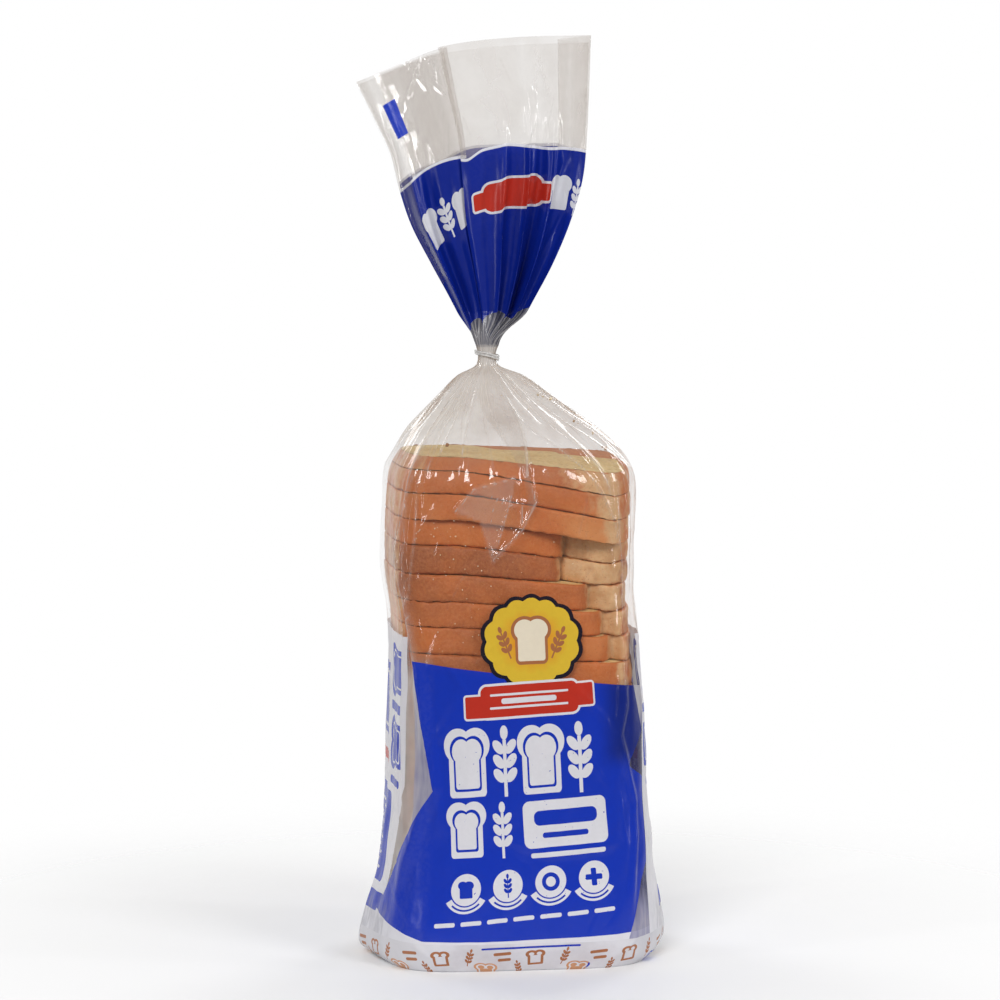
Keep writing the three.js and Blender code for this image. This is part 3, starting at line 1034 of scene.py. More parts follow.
class Ink(Finish):
    """Flat shapes on the film, in millimetres round and up the flat film."""

    def __init__(self, name, look):
        super().__init__(name)
        self.look = look
        self.spot = self.vector("MULTIPLY", self.add("UVMap", uv_map="flat_film"), (100, 100, 0))
        self.round, self.up = self.parts(self.spot)

    def repeated(self, pitch, start):
        """The spot with its way round repeated at a pitch."""
        return self.joined(self.wrap(self.round, pitch / 2, start), self.up)

    def shape(self, kind, x, y, wide, high, turn=0.0, corner=0.0, spot=None):
        """Gap of one shape, turned by an angle in degrees."""
        turned = (0, 0, math.radians(turn))
        inputs = {"Vector": spot or self.spot, "Location": (x, y, 0), "Rotation": turned}
        place = self.add("Mapping", inputs, vector_type="TEXTURE")
        inputs = {"Place": place, "Size": (wide, high, 0), "Corner": corner}
        return self.add("Group", inputs, node_tree=once("shape_" + kind, shape_group, kind))

    def box(self, x, y, wide, high, corner=0.0, turn=0.0, spot=None):
        return self.shape("box", x, y, wide, high, turn, corner, spot)

    def oval(self, x, y, wide, high, spot=None):
        return self.shape("oval", x, y, wide, high, spot=spot)

    def bread(self, x, y, wide, high, turn=0.0, spot=None):
        return self.shape("slice", x, y, wide, high, turn, spot=spot)

    def wheat(self, x, y, high, turn=0.0, spot=None):
        return self.shape("wheat", x, y, high, high, turn, spot=spot)

    def nearest(self, *gaps):
        """The gap of several shapes together."""
        whole = gaps[0]
        for gap in gaps[1:]:
            whole = whole & gap
        return whole

    def mask(self, *gaps, grow=0.0):
        """1 inside the shapes, grown by a distance."""
        return self.nearest(*gaps) < grow

    def line(self, gap, inset, wide):
        """1 on a line that follows a shape's edge inside it."""
        return abs(gap + inset) < wide / 2

    def paint(self, colour, layers):
        """Lays flat colours over each other: layers of (mask, colour)."""
        for mask, tone in layers:
            colour = self.mix(mask, colour, tone)
        return colour


def film_shader(ink, cover=None, colour=None):
    """Clear glossy film with a faint grey haze, under an ink layer where cover is 1."""
    look = ink.look
    fold = ink.attribute("fold")
    place = ink.place()
    crinkle = ink.noise(place, 70.0, 2.0)
    fine = ink.noise(place, 520.0, 2.0)
    normal = ink.bump(fine, 0.06, 0.001, ink.bump(crinkle, 0.14, 0.004))
    haze = ink.range(crinkle, 0.3, 0.7, look.haze * 0.8, look.haze * 1.2) * ink.attribute("haze")
    # fold whitens the haze: folded film, and painted highlights on creases and the star's facets.
    haze = fold * look.fold_and_sheen_haze + haze
    lit = {"Color": ink.mix(fold, look.haze_colour, look.fold_and_sheen_colour), "Normal": normal}
    veil = ink.blend(0.4, ink.add("BsdfDiffuse", lit), ink.add("BsdfTranslucent", lit))
    gloss = ink.add("BsdfGlossy", {"Color": (1, 1, 1, 1), "Roughness": 0.09, "Normal": normal})
    facing = ink.add("LayerWeight", {"Blend": 0.5, "Normal": normal}, "Facing")
    shine = ink.math("POWER", facing, 4.0) * 0.4 + 0.045
    clear = ink.blend(shine, ink.blend(haze, ink.clear(0.992, 0.988, 0.984), veil), gloss)
    if cover is None:
        return clear
    glow = ink.add("BsdfTranslucent", {"Color": colour, "Normal": normal})
    inked = ink.blend(look.ink_glow, ink.surface(colour, 0.24, IOR=1.42, Normal=normal), glow)
    return ink.blend(cover * ink.range(fine, 0.3, 0.7, 0.97, 0.995), clear, inked)


# Print of the film, in millimetres round and up the flat film. Each print gives how much its inks hide,
# and their colour.

PANEL_TOP, PANEL_TOP_SLOPE = 129.5, -0.11
PANEL_FOOT = 14.7
LEFT_FOLD = (-42.9, 80.0)  # where the fold of clear film reaches furthest over the blue
WEDGE_EDGE = -54.5
NOTCH = (50.0, 89.0)
SIDE_START = 62.8
WHITE_SIDE_EDGE = -61.5
MEDAL = (3.7, 144.5)
TILT = 3  # the turn of the print, in degrees
LINE_PITCH = 6.6


def left_edge(ink):
    """Left edge of the blue panel: a fold of clear film covers it, and low down it flares to the ear."""
    turn, level = LEFT_FOLD
    rise = ink.up - level
    return turn - (rise * 0.22 | rise * -0.75)


def side_edge(ink):
    """Front edge of the left side's white panel."""
    return (80.0 - ink.up | 0.0) * -0.35 + WHITE_SIDE_EDGE


def right_edge(ink):
    """Right edge of the blue panel: a notch where clear film is folded over it, and a slant low down."""
    def line(turn, level, slope):
        return (ink.up - level) * slope + turn
    low = line(48.8, 17.0, 0.4) | line(57.2, 38.0, 0.74)
    notch = line(*NOTCH, 0.86) | line(*NOTCH, -2.0)
    high = line(62.0, 103.0, -0.32) & SIDE_START
    return low & notch & high


def foot_line(ink):
    """Height of the blue panel's lower edge."""
    return (ink.round + 10.0 | 0.0) * 0.03 + (-46.0 - ink.round | 0.0) * 0.22 + PANEL_FOOT


def front_fields(ink):
    """Masks of the front's blue panel, the white border under it, and the hazy folds at its edges."""
    above_foot = ink.up > foot_line(ink)
    below_top = ink.up < ink.round * PANEL_TOP_SLOPE + PANEL_TOP
    left, right = left_edge(ink), right_edge(ink)
    panel = below_top & above_foot & (ink.round > left) & (ink.round < right)
    border = (1.0 - above_foot) & (ink.round > left)
    wedge = (ink.round < left) & (ink.round > WEDGE_EDGE)
    return panel, border, (wedge | (ink.round > right)) & below_top


def painted_corner_shade(ink, panel):
    """The right end of the panel, darker with painted shade where the film turns away: its mask and colour.
    """
    share = ink.range(ink.round, 33.0, 46.0, 0.0, 0.75) * ink.range(ink.up, 86.0, 97.0, 0.0, 1.0)
    return panel * share, srgb(12, 30, 104)


def fold_tone(ink):
    """Colour of clear film folded over the blue, and how much it hides: whiter up the film."""
    streak = ink.noise(ink.joined(ink.round, ink.up * 0.2), 0.3, 2.0) * 0.7 - 0.35
    left = ink.range(ink.up, 80.0, 140.0, 0.6, 0.85)
    right = ink.range(ink.up, 18.0, 40.0, 0.6, 0.08) | ink.range(ink.up, 100.0, 112.0, 0.0, 0.85)
    on_left = ink.round < 0.0
    share = on_left * left + (1.0 - on_left) * right + streak
    tone = ink.ramp(share, (0.1, srgb(36, 38, 92)), (0.5, srgb(146, 146, 180)), (0.9, srgb(204, 202, 208)))
    return tone, share * -0.12 + ink.look.fold_cover


def printed(ink, cover, layers, folds=None):
    """Inks laid over white where cover is 1, and hazy folds beside them."""
    if folds is not None:
        tone, hides = fold_tone(ink)
        layers = layers + [(folds, tone)]
        cover = cover | folds * hides
    return cover, ink.paint(ink.look.white, layers)


def specks(ink, white):
    """Small blue flaws in the white ink."""
    return white & (ink.noise(ink.spot, 0.55, 3.0, 0.7) > 0.685)


def rimmed_slice(ink, x, y, wide, high, spot):
    """A slice with a line inside its edge: masks of the whole, of what the rim holds, and of the core."""
    insets = ((0, 0, 0), (0.5, 6, 6.5), (0.7, 9.5, 10))
    return [ink.mask(ink.bread(x, y - drop, wide - less, high - lower, 0, spot))
            for drop, less, lower in insets]


def ruled(ink, away, x, wide, thick, corner, low, high):
    """Plain lines one above another, between two heights."""
    spot = ink.joined(away, ink.wrap(ink.up, LINE_PITCH / 2))
    return ink.mask(ink.box(x, 0, wide, thick, corner, 0, spot)) & (ink.up < high) & (ink.up > low)


def clear_print(ink):
    """No print."""
    return ()


def border_print(ink):
    """The white border round the foot of the bag: brown wheat, toast outlines and short bars in turn."""
    look = ink.look
    upper, lower = ink.repeated(43.0, 4.0), ink.repeated(43.0, 24.0)
    toast = ink.bread(5.5, 6.9, 9, 7.6, 4, upper)
    bars = (ink.box(-9.5, 9.0, 8, 1.5, 0.7, 4, upper), ink.box(-8.5, 6.0, 6, 1.5, 0.7, 4, upper))
    wheats = (ink.wheat(18.5, 7.4, 9, -16, upper), ink.wheat(41, 1.8, 8, 14, lower))
    brown = ink.mask(*wheats, *bars) | ink.line(toast, 0.7, 1.2)
    buns = ink.bread(25.5, 0.2, 11, 8.6, -4, lower)
    blue = ink.mask(ink.box(3, 11.9, 44, 0.9, 0.4, 1.2)) | ink.mask(buns) & (ink.round > 30.0)
    tan = ink.mask(buns) & (ink.round < 30.0)
    patch = ink.noise(ink.place(), 60.0, 3.0)
    ends = ink.range(abs(ink.round), 44.0, 62.0, 0.0, 0.28) * ink.range(patch, 0.38, 0.6, 0.35, 1.0)
    cover = ink.range(patch, 0.35, 0.65, look.border_cover - 0.06, look.border_cover + 0.06)
    layers = [
        (ends, srgb(178, 180, 186)), (tan, srgb(214, 158, 118)), (brown, look.brown), (blue, look.blue),
        (ink.line(buns, 1.2, 0.7), look.white),
    ]
    return printed(ink, cover | (brown | blue | tan) * 0.96, layers)


def disc_print(ink):
    """Foot of the blue panel: four white discs over ribbons, and a row of dashes."""
    look = ink.look
    panel, border, folds = front_fields(ink)
    pitch, first, slope = 19.5, -26.8, 0.075
    last = first + 3 * pitch
    along = ink.round - first
    level = ink.up - (along * slope + 37.4)
    spot = ink.joined(ink.wrap(along, pitch / 2), level)
    disc = ink.mask(ink.oval(0, 0, 13.8, 13.8, spot))
    away = ink.length(spot)
    ribbon = (away < 10.4) & (away > 7.5) & (level < away * -0.5)
    groove = (abs(away - 8.95) < 0.4) & (level < away * -0.72)
    near = (ink.round > first - 10.0) & (ink.round < last + 10.0)
    marks = ink.mask(ink.bread(first, 37.4, 7.4, 7.4, TILT), ink.wheat(first + pitch, 38.9, 10.5, TILT),
                     ink.box(last, 41.8, 7.6, 2.4, 0.6, TILT), ink.box(last, 41.8, 2.4, 7.6, 0.6, TILT))
    ring = ink.line(ink.oval(first + 2 * pitch, 40.3, 8.2, 8.2), 1.0, 1.8)
    dash_spot = ink.joined(ink.wrap(ink.round, 6.0), ink.up - ink.round * slope)
    dashes = ink.mask(ink.box(0, 24.6, 9.4, 1.9, 0.8, 0, dash_spot)) & (abs(ink.round) < 41.5)
    bright = panel & (near & (disc | ribbon) | dashes)
    layers = [
        (panel, look.blue), (bright, look.white), (marks | ring, look.blue), (groove & near, look.blue),
        (specks(ink, bright), look.blue),
    ]
    return printed(ink, panel | border, layers, folds)


def row_print(ink):
    """Middle of the blue panel: two rows of large white slices and ears of wheat, and a label."""
    look = ink.look
    panel, border, folds = front_fields(ink)
    rows = ((-27, 92.4, 22, 30), (8.2, 93.6, 22, 30), (-27, 63.3, 19, 24.4))
    whole, rims, cores = (
        [ink.bread(x, y - drop, wide - less, high - lower, TILT) for x, y, wide, high in rows]
        for drop, less, lower in ((0, 0, 0), (0.4, 5.6, 6), (0.5, 7.8, 8.4))
    )
    ears = [ink.wheat(-8.9, 93, 31, TILT), ink.wheat(26, 94.2, 31, TILT), ink.wheat(-9.8, 63.1, 24.6, TILT)]
    slant = 3.5
    label = ink.box(19.3, 66.0, 38.5, 20.5, 3.2, slant)
    label_marks = ink.mask(ink.box(19.3, 68.6, 29, 6.4, 2.6, slant),
                           ink.box(19.3, 61.0, 21, 2.4, 1.1, slant))
    thin = ink.box(20.5, 52.6, 34, 2.2, 0.9, slant)
    bright = panel & ink.mask(*whole, *ears, label, thin)
    layers = [
        (panel, look.blue), painted_corner_shade(ink, panel), (bright, look.white), (ink.mask(*rims), look.blue),
        (ink.mask(*cores), look.white), (label_marks, look.blue), (specks(ink, bright), look.blue),
    ]
    return printed(ink, panel | border, layers, folds)


def medal_print(ink):
    """Head of the blue panel: a round yellow mark with a slice and wheat, over a red ribbon."""
    look = ink.look
    panel, border, folds = front_fields(ink)
    x, y = MEDAL
    scallops = ink.math("ARCTAN2", ink.up - y, ink.round - x) * 7.0
    medal = abs(ink.math("SINE", scallops)) * -1.3 + ink.oval(x, y, 43, 35)
    glow = ink.ramp((medal + 17.0) / 17.0, (0.1, look.orange), (0.75, look.yellow))
    toast = ink.bread(x, 145, 16, 18, 2)
    ears = ink.mask(ink.wheat(x - 12.7, 144.0, 15, 24), ink.wheat(x + 12.7, 144.0, 15, -24))
    band = ink.box(2.3, 119.5, 46, 13.5, 3.0, TILT)
    tails = ink.nearest(ink.box(-22, 116.2, 12, 9.5, 0.8, TILT), ink.box(26.6, 121.4, 12, 9.5, 0.8, TILT))
    stripes = ink.mask(ink.box(2.3, 122.3, 37, 1.0, 0.4, TILT), ink.box(2.3, 116.7, 37, 1.0, 0.4, TILT),
                       ink.box(2.3, 119.5, 26, 2.4, 1.1, TILT))
    rim = ink.mask(tails, grow=0.9) | ink.mask(band, grow=1.1)
    outer = ink.mask(medal, grow=1.7)
    layers = [
        (panel, look.blue), painted_corner_shade(ink, panel), (outer, srgb(24, 24, 40)), (ink.mask(medal), glow),
        (ears, look.brown), (ink.mask(toast, grow=1.3), look.brown), (ink.mask(toast), srgb(246, 236, 212)),
        (rim, look.white), (ink.mask(tails) | ink.mask(band), look.red), (stripes, look.white),
    ]
    return printed(ink, panel | border | outer | rim, layers, folds)


def side_print(ink):
    """Film of the sides: white panels with turned slices, a blue box of lines, and toast with wheat."""
    look = ink.look
    away = abs(ink.round)
    spot = ink.joined(away, ink.up)
    left_side = ink.round < -50.0
    panels = (ink.round > SIDE_START) | left_side & (ink.round < side_edge(ink))
    flare = left_side & (ink.round > left_edge(ink)) & (ink.up < 66.0)
    foot = flare & (ink.up < foot_line(ink))
    flare = flare & (ink.up > foot_line(ink))
    whole, rims, cores = (
        [ink.bread(x, y, wide, high, -90, spot) for y in (128, 96)]
        for x, wide, high in ((81, 24, 30), (80.5, 18.5, 24), (80.3, 16.6, 21.8))
    )
    boxes = ((81, 112, 30, 4, 1.5), (81, 79.5, 24, 3.5, 1.5), (118, 54, 62, 40, 3), (112, 26, 64, 8, 1.5))
    blocks = ink.mask(*whole, *[ink.box(*box, 0, spot) for box in boxes])
    toast, toast_rim, toast_core = rimmed_slice(ink, 121, 112, 30, 32, spot)
    streak = ink.noise(ink.joined(away, ink.up * 0.3), 0.3, 2.0)
    ear = ink.range(ink.up, 20.0, 34.0, 1.0, 0.0) * ink.range(away, 62.0, 76.0, 0.0, 1.0)
    layers = [
        (blocks | toast, look.blue), (ink.mask(*rims), look.white), (ink.mask(*cores), look.blue),
        (toast_rim, look.white), (toast_core, look.blue),
        (ruled(ink, away, 120, 48, 1.3, 0.5, 39.0, 69.0), look.white),
        (ink.mask(ink.wheat(144, 112, 34, 0, spot)), look.brown),
        (ink.mask(ink.box(121, 86.5, 40, 5, 1.6, 0, spot)), look.red),
        (flare, look.blue), (foot, look.white),
        (ear * ink.range(streak, 0.35, 0.65, 0.15, 0.5), srgb(150, 150, 162)),
    ]
    return printed(ink, panels & (ink.up < 145.0) | flare | foot, layers)


def back_print(ink):
    """Film of the back: a blue panel with a white table of plain lines under a slice and wheat."""
    look = ink.look
    away = FILM_GIRTH / 2 - abs(ink.round)
    spot = ink.joined(away, ink.up)
    border = ink.up < 15.5
    panel = (ink.up < 133.0) & (ink.up > 15.5)
    toast, rim, core = rimmed_slice(ink, 0, 106, 30, 34, spot)
    layers = [
        (panel, look.blue),
        (ink.mask(ink.wheat(31, 106, 36, 0, spot), ink.box(0, 50, 62, 56, 3, 0, spot)) | toast, look.white),
        (ruled(ink, away, 0, 52, 1.2, 0.4, 26.0, 74.0), look.blue), (rim, look.blue), (core, look.white),
        (ink.mask(ink.box(0, 84.5, 44, 6, 2, 0, spot)), look.red),
    ]
    return printed(ink, panel | border, layers)


def band_print(ink):
    """Film over the tie: a blue band, its ink darkened as painted shade, with a white edge and motifs, then
    clear film with a blue mark.
    """
    look = ink.look
    low = FILM_NECK_REACH + 10.5
    level = ink.up - low + ink.math("SINE", ink.round * 0.13)
    dip = ink.range(abs(ink.round + 29.0), 0.0, 8.0, 1.8, 0.0)
    ceiling = level + dip + ink.range(ink.round, -24.0, 26.0, 1.6, 0.0)
    open_strip = (abs(ink.round + 79.0) < 3.0) & (level > 24.0)
    band = (level > 0.0) & (ceiling < 71.6) & (1.0 - open_strip)
    row = low + 48
    blocks = ink.mask(
        ink.bread(-70, row - 3, 12, 17, 8), ink.wheat(-60, row - 2, 19, 8),
        ink.bread(-49.5, row - 1, 12, 17, 8), ink.bread(23.5, row + 4, 13, 15, 8),
        ink.wheat(33.5, row + 4, 16, 8), ink.bread(100, row, 14, 16), ink.wheat(113, row, 18),
        ink.bread(-120, row, 14, 16),
    )
    ribbon = ink.nearest(
        ink.box(-5, row + 1.5, 34, 12.5, 3.4, 6), ink.box(-5, row + 1.0, 44, 7.5, 1.0, 6),
        ink.box(146, row, 34, 12.5, 3.4), ink.box(146, row - 0.5, 44, 7.5, 1.0),
    )
    flag = ink.mask(ink.box(-73.6, low + 97, 6.4, 16.5, 0.2))
    streak = ink.noise(ink.joined(ink.round, ink.up * 0.06), 0.42, 3.0)
    # Gathered film under the band is painted grey with streaks; its dark grey is painted shade among the
    # folds.
    gathered = (level < 0.0) & ink.range(ink.up, FILM_NECK_REACH, low - 6, 0.45, 1.0)
    gathered = gathered * ink.range(streak, 0.4, 0.62, 0.95, 0.3)
    grey = ink.ramp(streak, (0.36, srgb(44, 48, 70)), (0.5, srgb(96, 99, 116)), (0.62, srgb(190, 191, 198)))
    layers = [
        (level < 0.0, grey), (band & (ceiling > 70.4), look.white), (blocks, look.white),
        (ink.mask(ribbon, grow=1.1), look.white), (ink.mask(ribbon), look.red), (flag, look.blue),
    ]
    return band | flag | gathered, ink.paint(look.shaded_band_blue, layers)


PRINTS = {
    "clear": clear_print, "border": border_print, "discs": disc_print, "rows": row_print,
    "medal": medal_print, "sides": side_print, "back": back_print, "band": band_print,
}


def crust_finish(settings):
    """Baked crust: brown crown and flat crust, pale sides, fine grain, pores darkened with painted shade,
    and small blisters.
    """
    skin = Finish("crust")
    place = skin.place()
    fine = skin.noise(place, 900.0, 4.0, 0.65)
    streak = skin.noise(place, 160.0, 4.0)
    # tone darkens or lightens each slice's crust; for slice 5 it is painted shade.
    patch = skin.noise(place, 28.0, 5.0) + skin.attribute("tone")
    brown = skin.ramp(patch, (0.25, settings.dark_crust_and_pore_shade), (0.55, settings.crust),
                      (0.8, settings.crust_light))
    side = skin.ramp(streak, (0.25, srgb(198, 150, 101)), (0.55, srgb(220, 180, 132)),
                     (0.85, srgb(230, 204, 160)))
    share = skin.attribute("bake") + skin.range(streak, 0.3, 0.7, -0.22, 0.22)
    colour = skin.mix(skin.range(share, 0.22, 0.78, 0.0, 1.0), side, brown)
    colour = skin.mix(skin.range(fine, 0.3, 0.72, 0.0, 0.32), colour, settings.crust_light)
    # The pores are darkened towards their middles: painted shade in the pits.
    holes = skin.cells(place, 620.0)
    colour = skin.mix(skin.range(holes, 0.05, 0.22, 0.55, 0.0), colour, settings.dark_crust_and_pore_shade)
    normal = skin.bump(streak, 0.5, 0.0012)
    normal = skin.bump(fine, 0.35, 0.0004, normal)
    normal = skin.bump(holes, 0.25, 0.0004, normal)
    return skin.finish(skin.surface(
        colour, 0.58, Subsurface_Weight=0.12, Subsurface_Radius=(0.004, 0.002, 0.001), Subsurface_Scale=0.6,
        Normal=normal))


def crumb_finish(settings):
    """Cut crumb: pale cream with open pores of several sizes, darkened with painted shade."""
    skin = Finish("crumb")
    place = skin.place()
    small, big = skin.cells(place, 480.0), skin.cells(place, 190.0)
    soft = skin.noise(place, 60.0, 5.0)
    base = skin.ramp(soft, (0.3, srgb(222, 184, 118)), (0.7, srgb(238, 210, 150)))
    # The pores are painted darker brown: painted shade in the holes.
    pore_shade = skin.range(small, 0.1, 0.45, 0.6, 0.0) | skin.range(big, 0.06, 0.26, 0.75, 0.0)
    colour = skin.mix(pore_shade, base, srgb(190, 144, 86))
    rim = skin.attribute("edge") + skin.range(soft, 0.3, 0.7, -0.01, 0.01)
    colour = skin.mix(skin.range(rim, 0.95, 0.975, 0.0, 0.9), colour, settings.crust)
    normal = skin.bump(big, 0.8, 0.0014, skin.bump(small, 0.7, 0.0009))
    return skin.finish(skin.surface(
        colour, 0.8, Subsurface_Weight=0.2, Subsurface_Radius=(0.006, 0.004, 0.002), Subsurface_Scale=0.6,
        Normal=normal))


def fleck_finish():
    """Crumbs: cream flecks and a few brown ones."""
    skin = Finish("flecks")
    grain = skin.noise(skin.place(), 1500.0, 3.0)
    colour = skin.ramp(skin.attribute("bake"), (0.2, srgb(246, 234, 206)), (0.45, srgb(222, 184, 126)),
                       (0.75, srgb(150, 88, 44)))
    colour = skin.mix(skin.range(grain, 0.3, 0.7, 0.0, 0.35), colour, srgb(186, 140, 84))
    return skin.finish(skin.surface(colour, 0.8, Normal=skin.bump(grain, 0.6, 0.0003)))


def tie_finish():
    """Clear band: glossy, faintly grey, with lengthwise lines."""
    skin = Finish("tie")
    lines = skin.noise(skin.place(), 700.0, 3.0)
    tone = skin.ramp(lines, (0.3, srgb(206, 204, 202)), (0.7, srgb(240, 239, 238)))
    solid = skin.surface(tone, 0.15, IOR=1.5, Normal=skin.bump(lines, 0.4, 0.0003))
    cover = skin.range(lines, 0.3, 0.7, 0.55, 0.8)
    return skin.finish(skin.blend(cover, skin.clear(0.93, 0.93, 0.93), solid))


# Settings

def colour(name, description, *tone):
    """A colour in the panel, given as it looks on screen."""
    return FloatVectorProperty(name=name, description=description, subtype="COLOR", default=srgb(*tone))


def share(name, description, value):
    """A share from 0 to 1 in the panel."""
    return FloatProperty(name=name, description=description, default=value, subtype="FACTOR")


def angle(name, description, degrees):
    """An angle in the panel."""
    return FloatProperty(name=name, description=description, default=math.radians(degrees), subtype="ANGLE",
                         unit="ROTATION")


def length(name, description, metres):
    """A length in the panel."""
    return FloatProperty(name=name, description=description, default=metres, unit="LENGTH")


class LoafSizes(bpy.types.PropertyGroup):
    """Sizes and colours of the loaf."""
    slice_count: IntProperty(name="Slices", description="Slices with the two ends", default=20, min=10)
    loaf_height: length("Loaf height", "Height of the pile of slices", 0.2276)
    crust: colour("Crust", "Colour of the crown", 194, 100, 31)
    # Dark crust colours the darker patches of the crust's own tone, and the painted shade in its pores.
    dark_crust_and_pore_shade: colour("Dark crust", "Colour of pores and darker patches", 150, 76, 30)
    crust_light: colour("Light crust", "Colour of the crust's grain", 208, 134, 74)


class FilmLook(bpy.types.PropertyGroup):
    """Haze and print colours of the film."""
    haze: share("Haze", "How much one layer of clear film hides", 0.09)
    # The haze and tone of folded film also paint highlights on crease crests and the star's facets, and
    # light over the gap at the left side.
    fold_and_sheen_haze: share("Fold haze", "Haze added where the film is folded", 0.42)
    haze_colour: colour("Haze colour", "Tone of the clear film", 180, 166, 153)
    fold_and_sheen_colour: colour("Fold colour", "Tone of the film where it is folded", 232, 228, 224)
    ink_glow: share("Ink glow", "Share of light that goes through the inks", 0.2)
    fold_cover: share("Fold cover", "How much clear film folded over the blue hides", 0.92)
    border_cover: share("Border cover", "How much the white of the foot hides", 0.9)
    blue: colour("Blue", "Blue ink", 14, 54, 188)
    # The band's blue is darker than the front's blue ink: painted shade on the band.
    shaded_band_blue: colour("Band blue", "Blue ink of the band over the tie", 12, 40, 152)
    white: colour("White", "White ink", 232, 232, 238)
    red: colour("Red", "Red ink", 200, 52, 36)
    yellow: colour("Yellow", "Yellow ink", 230, 194, 58)
    orange: colour("Orange", "Orange ink", 236, 140, 40)
    brown: colour("Brown", "Brown ink of the border", 176, 112, 72)


class StageLook(bpy.types.PropertyGroup):
    """Floor, lights and camera."""
    floor: colour("Floor", "Colour of the floor", 246, 246, 246)
    surround: FloatProperty(
        name="Surround", description="Strength of the pale light from behind", default=0.9)
    room: FloatProperty(
        name="Room", description="Strength of the light from the room in front", default=0.25)
    camera_side: angle("Camera side", "How far the camera stands to the right", -7)
    camera_lift: angle("Camera lift", "How far above level the camera looks from", 5)
    camera_distance: length("Camera distance", "From the camera to the pack", 1.6)


# Operators

def dress(piece, node):
    """Makes a piece stand for a node and move with the pack."""
    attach(piece, "root")
    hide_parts(node)


class BuildFilm(bpy.types.Operator):
    """Make the printed film"""
    bl_idname = "loaf.film"
    bl_label = "Film"

    def execute(self, context):
        dress(make_film(context.scene.film_look), "bag")
        return {"FINISHED"}


class BuildSlices(bpy.types.Operator):
    """Make the pile of slices"""
    bl_idname = "loaf.slices"
    bl_label = "Slices"

    def execute(self, context):
        settings = context.scene.loaf_sizes
        for number in range(1, settings.slice_count + 1):
            dress(make_slice(number, settings), "bag")
        return {"FINISHED"}


class BuildCrumbs(bpy.types.Operator):
    """Make the loose crumbs"""
    bl_idname = "loaf.crumbs"
    bl_label = "Crumbs"

    def execute(self, context):
        dress(make_crumbs(), "bag")
        return {"FINISHED"}


class BuildTie(bpy.types.Operator):
    """Make the clear band round the neck"""
    bl_idname = "loaf.tie"
    bl_label = "Tie"

    def execute(self, context):
        dress(make_tie(), "neck_tie")
        return {"FINISHED"}


# Soft lamps: name, place, width and height in metres, and power in watts
LAMPS = (
    ("key_left", (-0.9, -2.2, 1.6), (0.9, 0.8), 34),
    ("key_right", (1.5, -1.9, 1.5), (0.8, 0.8), 22),
    ("strip_left", (-1.6, -0.7, 0.6), (0.12, 1.3), 4.5),
    ("strip_right", (1.6, -0.6, 0.6), (0.12, 1.3), 5),
    ("back_left", (-1.3, 1.7, 1.3), (0.8, 0.8), 9),
    ("back_right", (1.3, 1.7, 1.3), (0.8, 0.8), 11),
)
LAMP_AIM = (0, 0, 0.2)


def add_softbox(name, place, size, power):
    """A soft lamp that faces the pack."""
    lamp = bpy.data.lights.new(name, "AREA")
    lamp.shape = "RECTANGLE"
    lamp.size, lamp.size_y = size
    lamp.energy = power
    holder = bpy.data.objects.new(name, lamp)
    holder.location = place
    holder.rotation_euler = (Vector(LAMP_AIM) - Vector(place)).to_track_quat("-Z", "Y").to_euler()
    bpy.context.scene.collection.objects.link(holder)


def make_floor(settings):
    """A pale floor that fades into the surround."""
    rings, columns, reach = 12, 96, 480
    verts = [(0, 0, 0)]
    for ring in range(1, rings + 1):
        radius = reach * ring / rings
        for column in range(columns):
            turn = 2 * math.pi * column / columns
            verts.append((radius * math.cos(turn), radius * math.sin(turn), 0))
    faces = [(0, 1 + column, 1 + (column + 1) % columns) for column in range(columns)]
    for ring in range(rings - 1):
        for column in range(columns):
            a = 1 + ring * columns + column
            b = 1 + ring * columns + (column + 1) % columns
            faces.append((a, a + columns, b + columns, b))
    floor = build_mesh("floor", verts, faces)
    skin = Finish("floor")
    place = skin.place()
    tone = skin.mix(skin.range(skin.noise(place, 40.0, 3.0), 0.3, 0.7, 0.0, 0.02), settings.floor,
                    srgb(225, 225, 225))
    gone = skin.range(skin.length(place), 0.07, 0.42, 0.0, 1.0)
    floor.data.materials.append(
        skin.finish(skin.blend(gone, skin.surface(tone, 0.6), skin.add("BsdfTransparent"))))


def make_surround(settings):
    """A white backdrop, and light that is stronger from behind than from the room in front."""
    world = bpy.data.worlds.new("surround")
    world.use_nodes = True
    sky = Nodes(world.node_tree)
    sky.tree.nodes.clear()
    seen = sky.add("LightPath", out="Is Camera Ray")
    backdrop = sky.add("Background", {"Color": (1, 1, 1, 1), "Strength": 1.0})
    way = sky.parts(sky.add("TexCoord", out="Generated"))[1]
    strength = sky.range(way, 0.1, 0.8, settings.room, settings.surround)
    room = sky.add("Background", {"Color": (1, 1, 1, 1), "Strength": strength})
    sky.node("ShaderNodeOutputWorld", {"Surface": sky.blend(seen, room, backdrop)})
    return world


class BuildStage(bpy.types.Operator):
    """Set the floor, the lights and the pale surround"""
    bl_idname = "loaf.stage"
    bl_label = "Stage"

    def execute(self, context):
        scene = context.scene
        scene.view_settings.view_transform = "Standard"
        scene.world = make_surround(scene.stage_look)
        scene.cycles.transparent_max_bounces = 24
        make_floor(scene.stage_look)
        for lamp in LAMPS:
            add_softbox(*lamp)
        return {"FINISHED"}


CAMERA_AIM = (-0.0041, 0, 0.2055)
CAMERA_LENS = 127.6


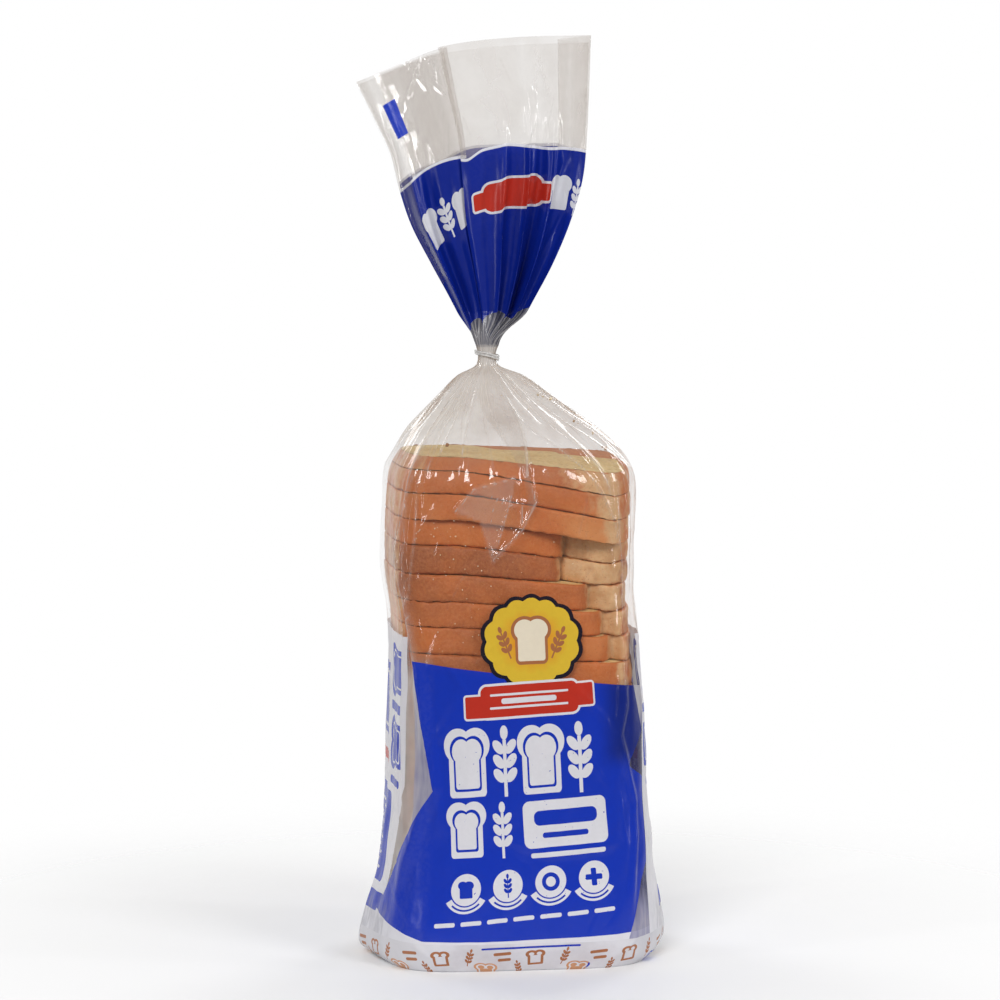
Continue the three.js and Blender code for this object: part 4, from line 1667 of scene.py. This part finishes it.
class SetCamera(bpy.types.Operator):
    """Set the camera where the photograph was taken from"""
    bl_idname = "loaf.camera"
    bl_label = "Camera"

    def execute(self, context):
        settings = context.scene.stage_look
        turn, lift = settings.camera_side, settings.camera_lift
        away = Vector((math.sin(turn) * math.cos(lift), -math.cos(turn) * math.cos(lift), math.sin(lift)))
        lens = bpy.data.cameras.new("camera")
        lens.lens = CAMERA_LENS
        lens.clip_end = 50
        camera = bpy.data.objects.new("camera", lens)
        camera.location = Vector(CAMERA_AIM) + away * settings.camera_distance
        camera.rotation_euler = (-away).to_track_quat("-Z", "Y").to_euler()
        context.scene.collection.objects.link(camera)
        context.scene.camera = camera
        return {"FINISHED"}


class LoafPanel(bpy.types.Panel):
    """Lists the steps and the settings"""
    bl_idname = "VIEW3D_PT_loaf"
    bl_label = "Loaf in bread bag"
    bl_space_type = "VIEW_3D"
    bl_region_type = "UI"
    bl_category = "Loaf"

    def draw(self, context):
        for operator in OPERATORS:
            self.layout.operator(operator.bl_idname)
        for name in SETTINGS:
            group = getattr(context.scene, name)
            for prop in group.bl_rna.properties:
                if prop.identifier not in {"rna_type", "name"}:
                    self.layout.prop(group, prop.identifier)


OPERATORS = (SetCamera, BuildFilm, BuildSlices, BuildCrumbs, BuildTie, BuildStage)
SETTINGS = {"loaf_sizes": LoafSizes, "film_look": FilmLook, "stage_look": StageLook}


def register():
    for group in (*SETTINGS.values(), *OPERATORS, LoafPanel):
        bpy.utils.register_class(group)
    for name, group in SETTINGS.items():
        setattr(bpy.types.Scene, name, PointerProperty(type=group))


def unregister():
    for name in SETTINGS:
        delattr(bpy.types.Scene, name)
    for group in reversed((*SETTINGS.values(), *OPERATORS, LoafPanel)):
        bpy.utils.unregister_class(group)


def main():
    register()
    bpy.ops.loaf.camera()
    bpy.ops.loaf.film()
    bpy.ops.loaf.slices()
    bpy.ops.loaf.crumbs()
    bpy.ops.loaf.tie()
    bpy.ops.loaf.stage()
    bpy.context.view_layer.update()


if __name__ == "__main__":
    main()
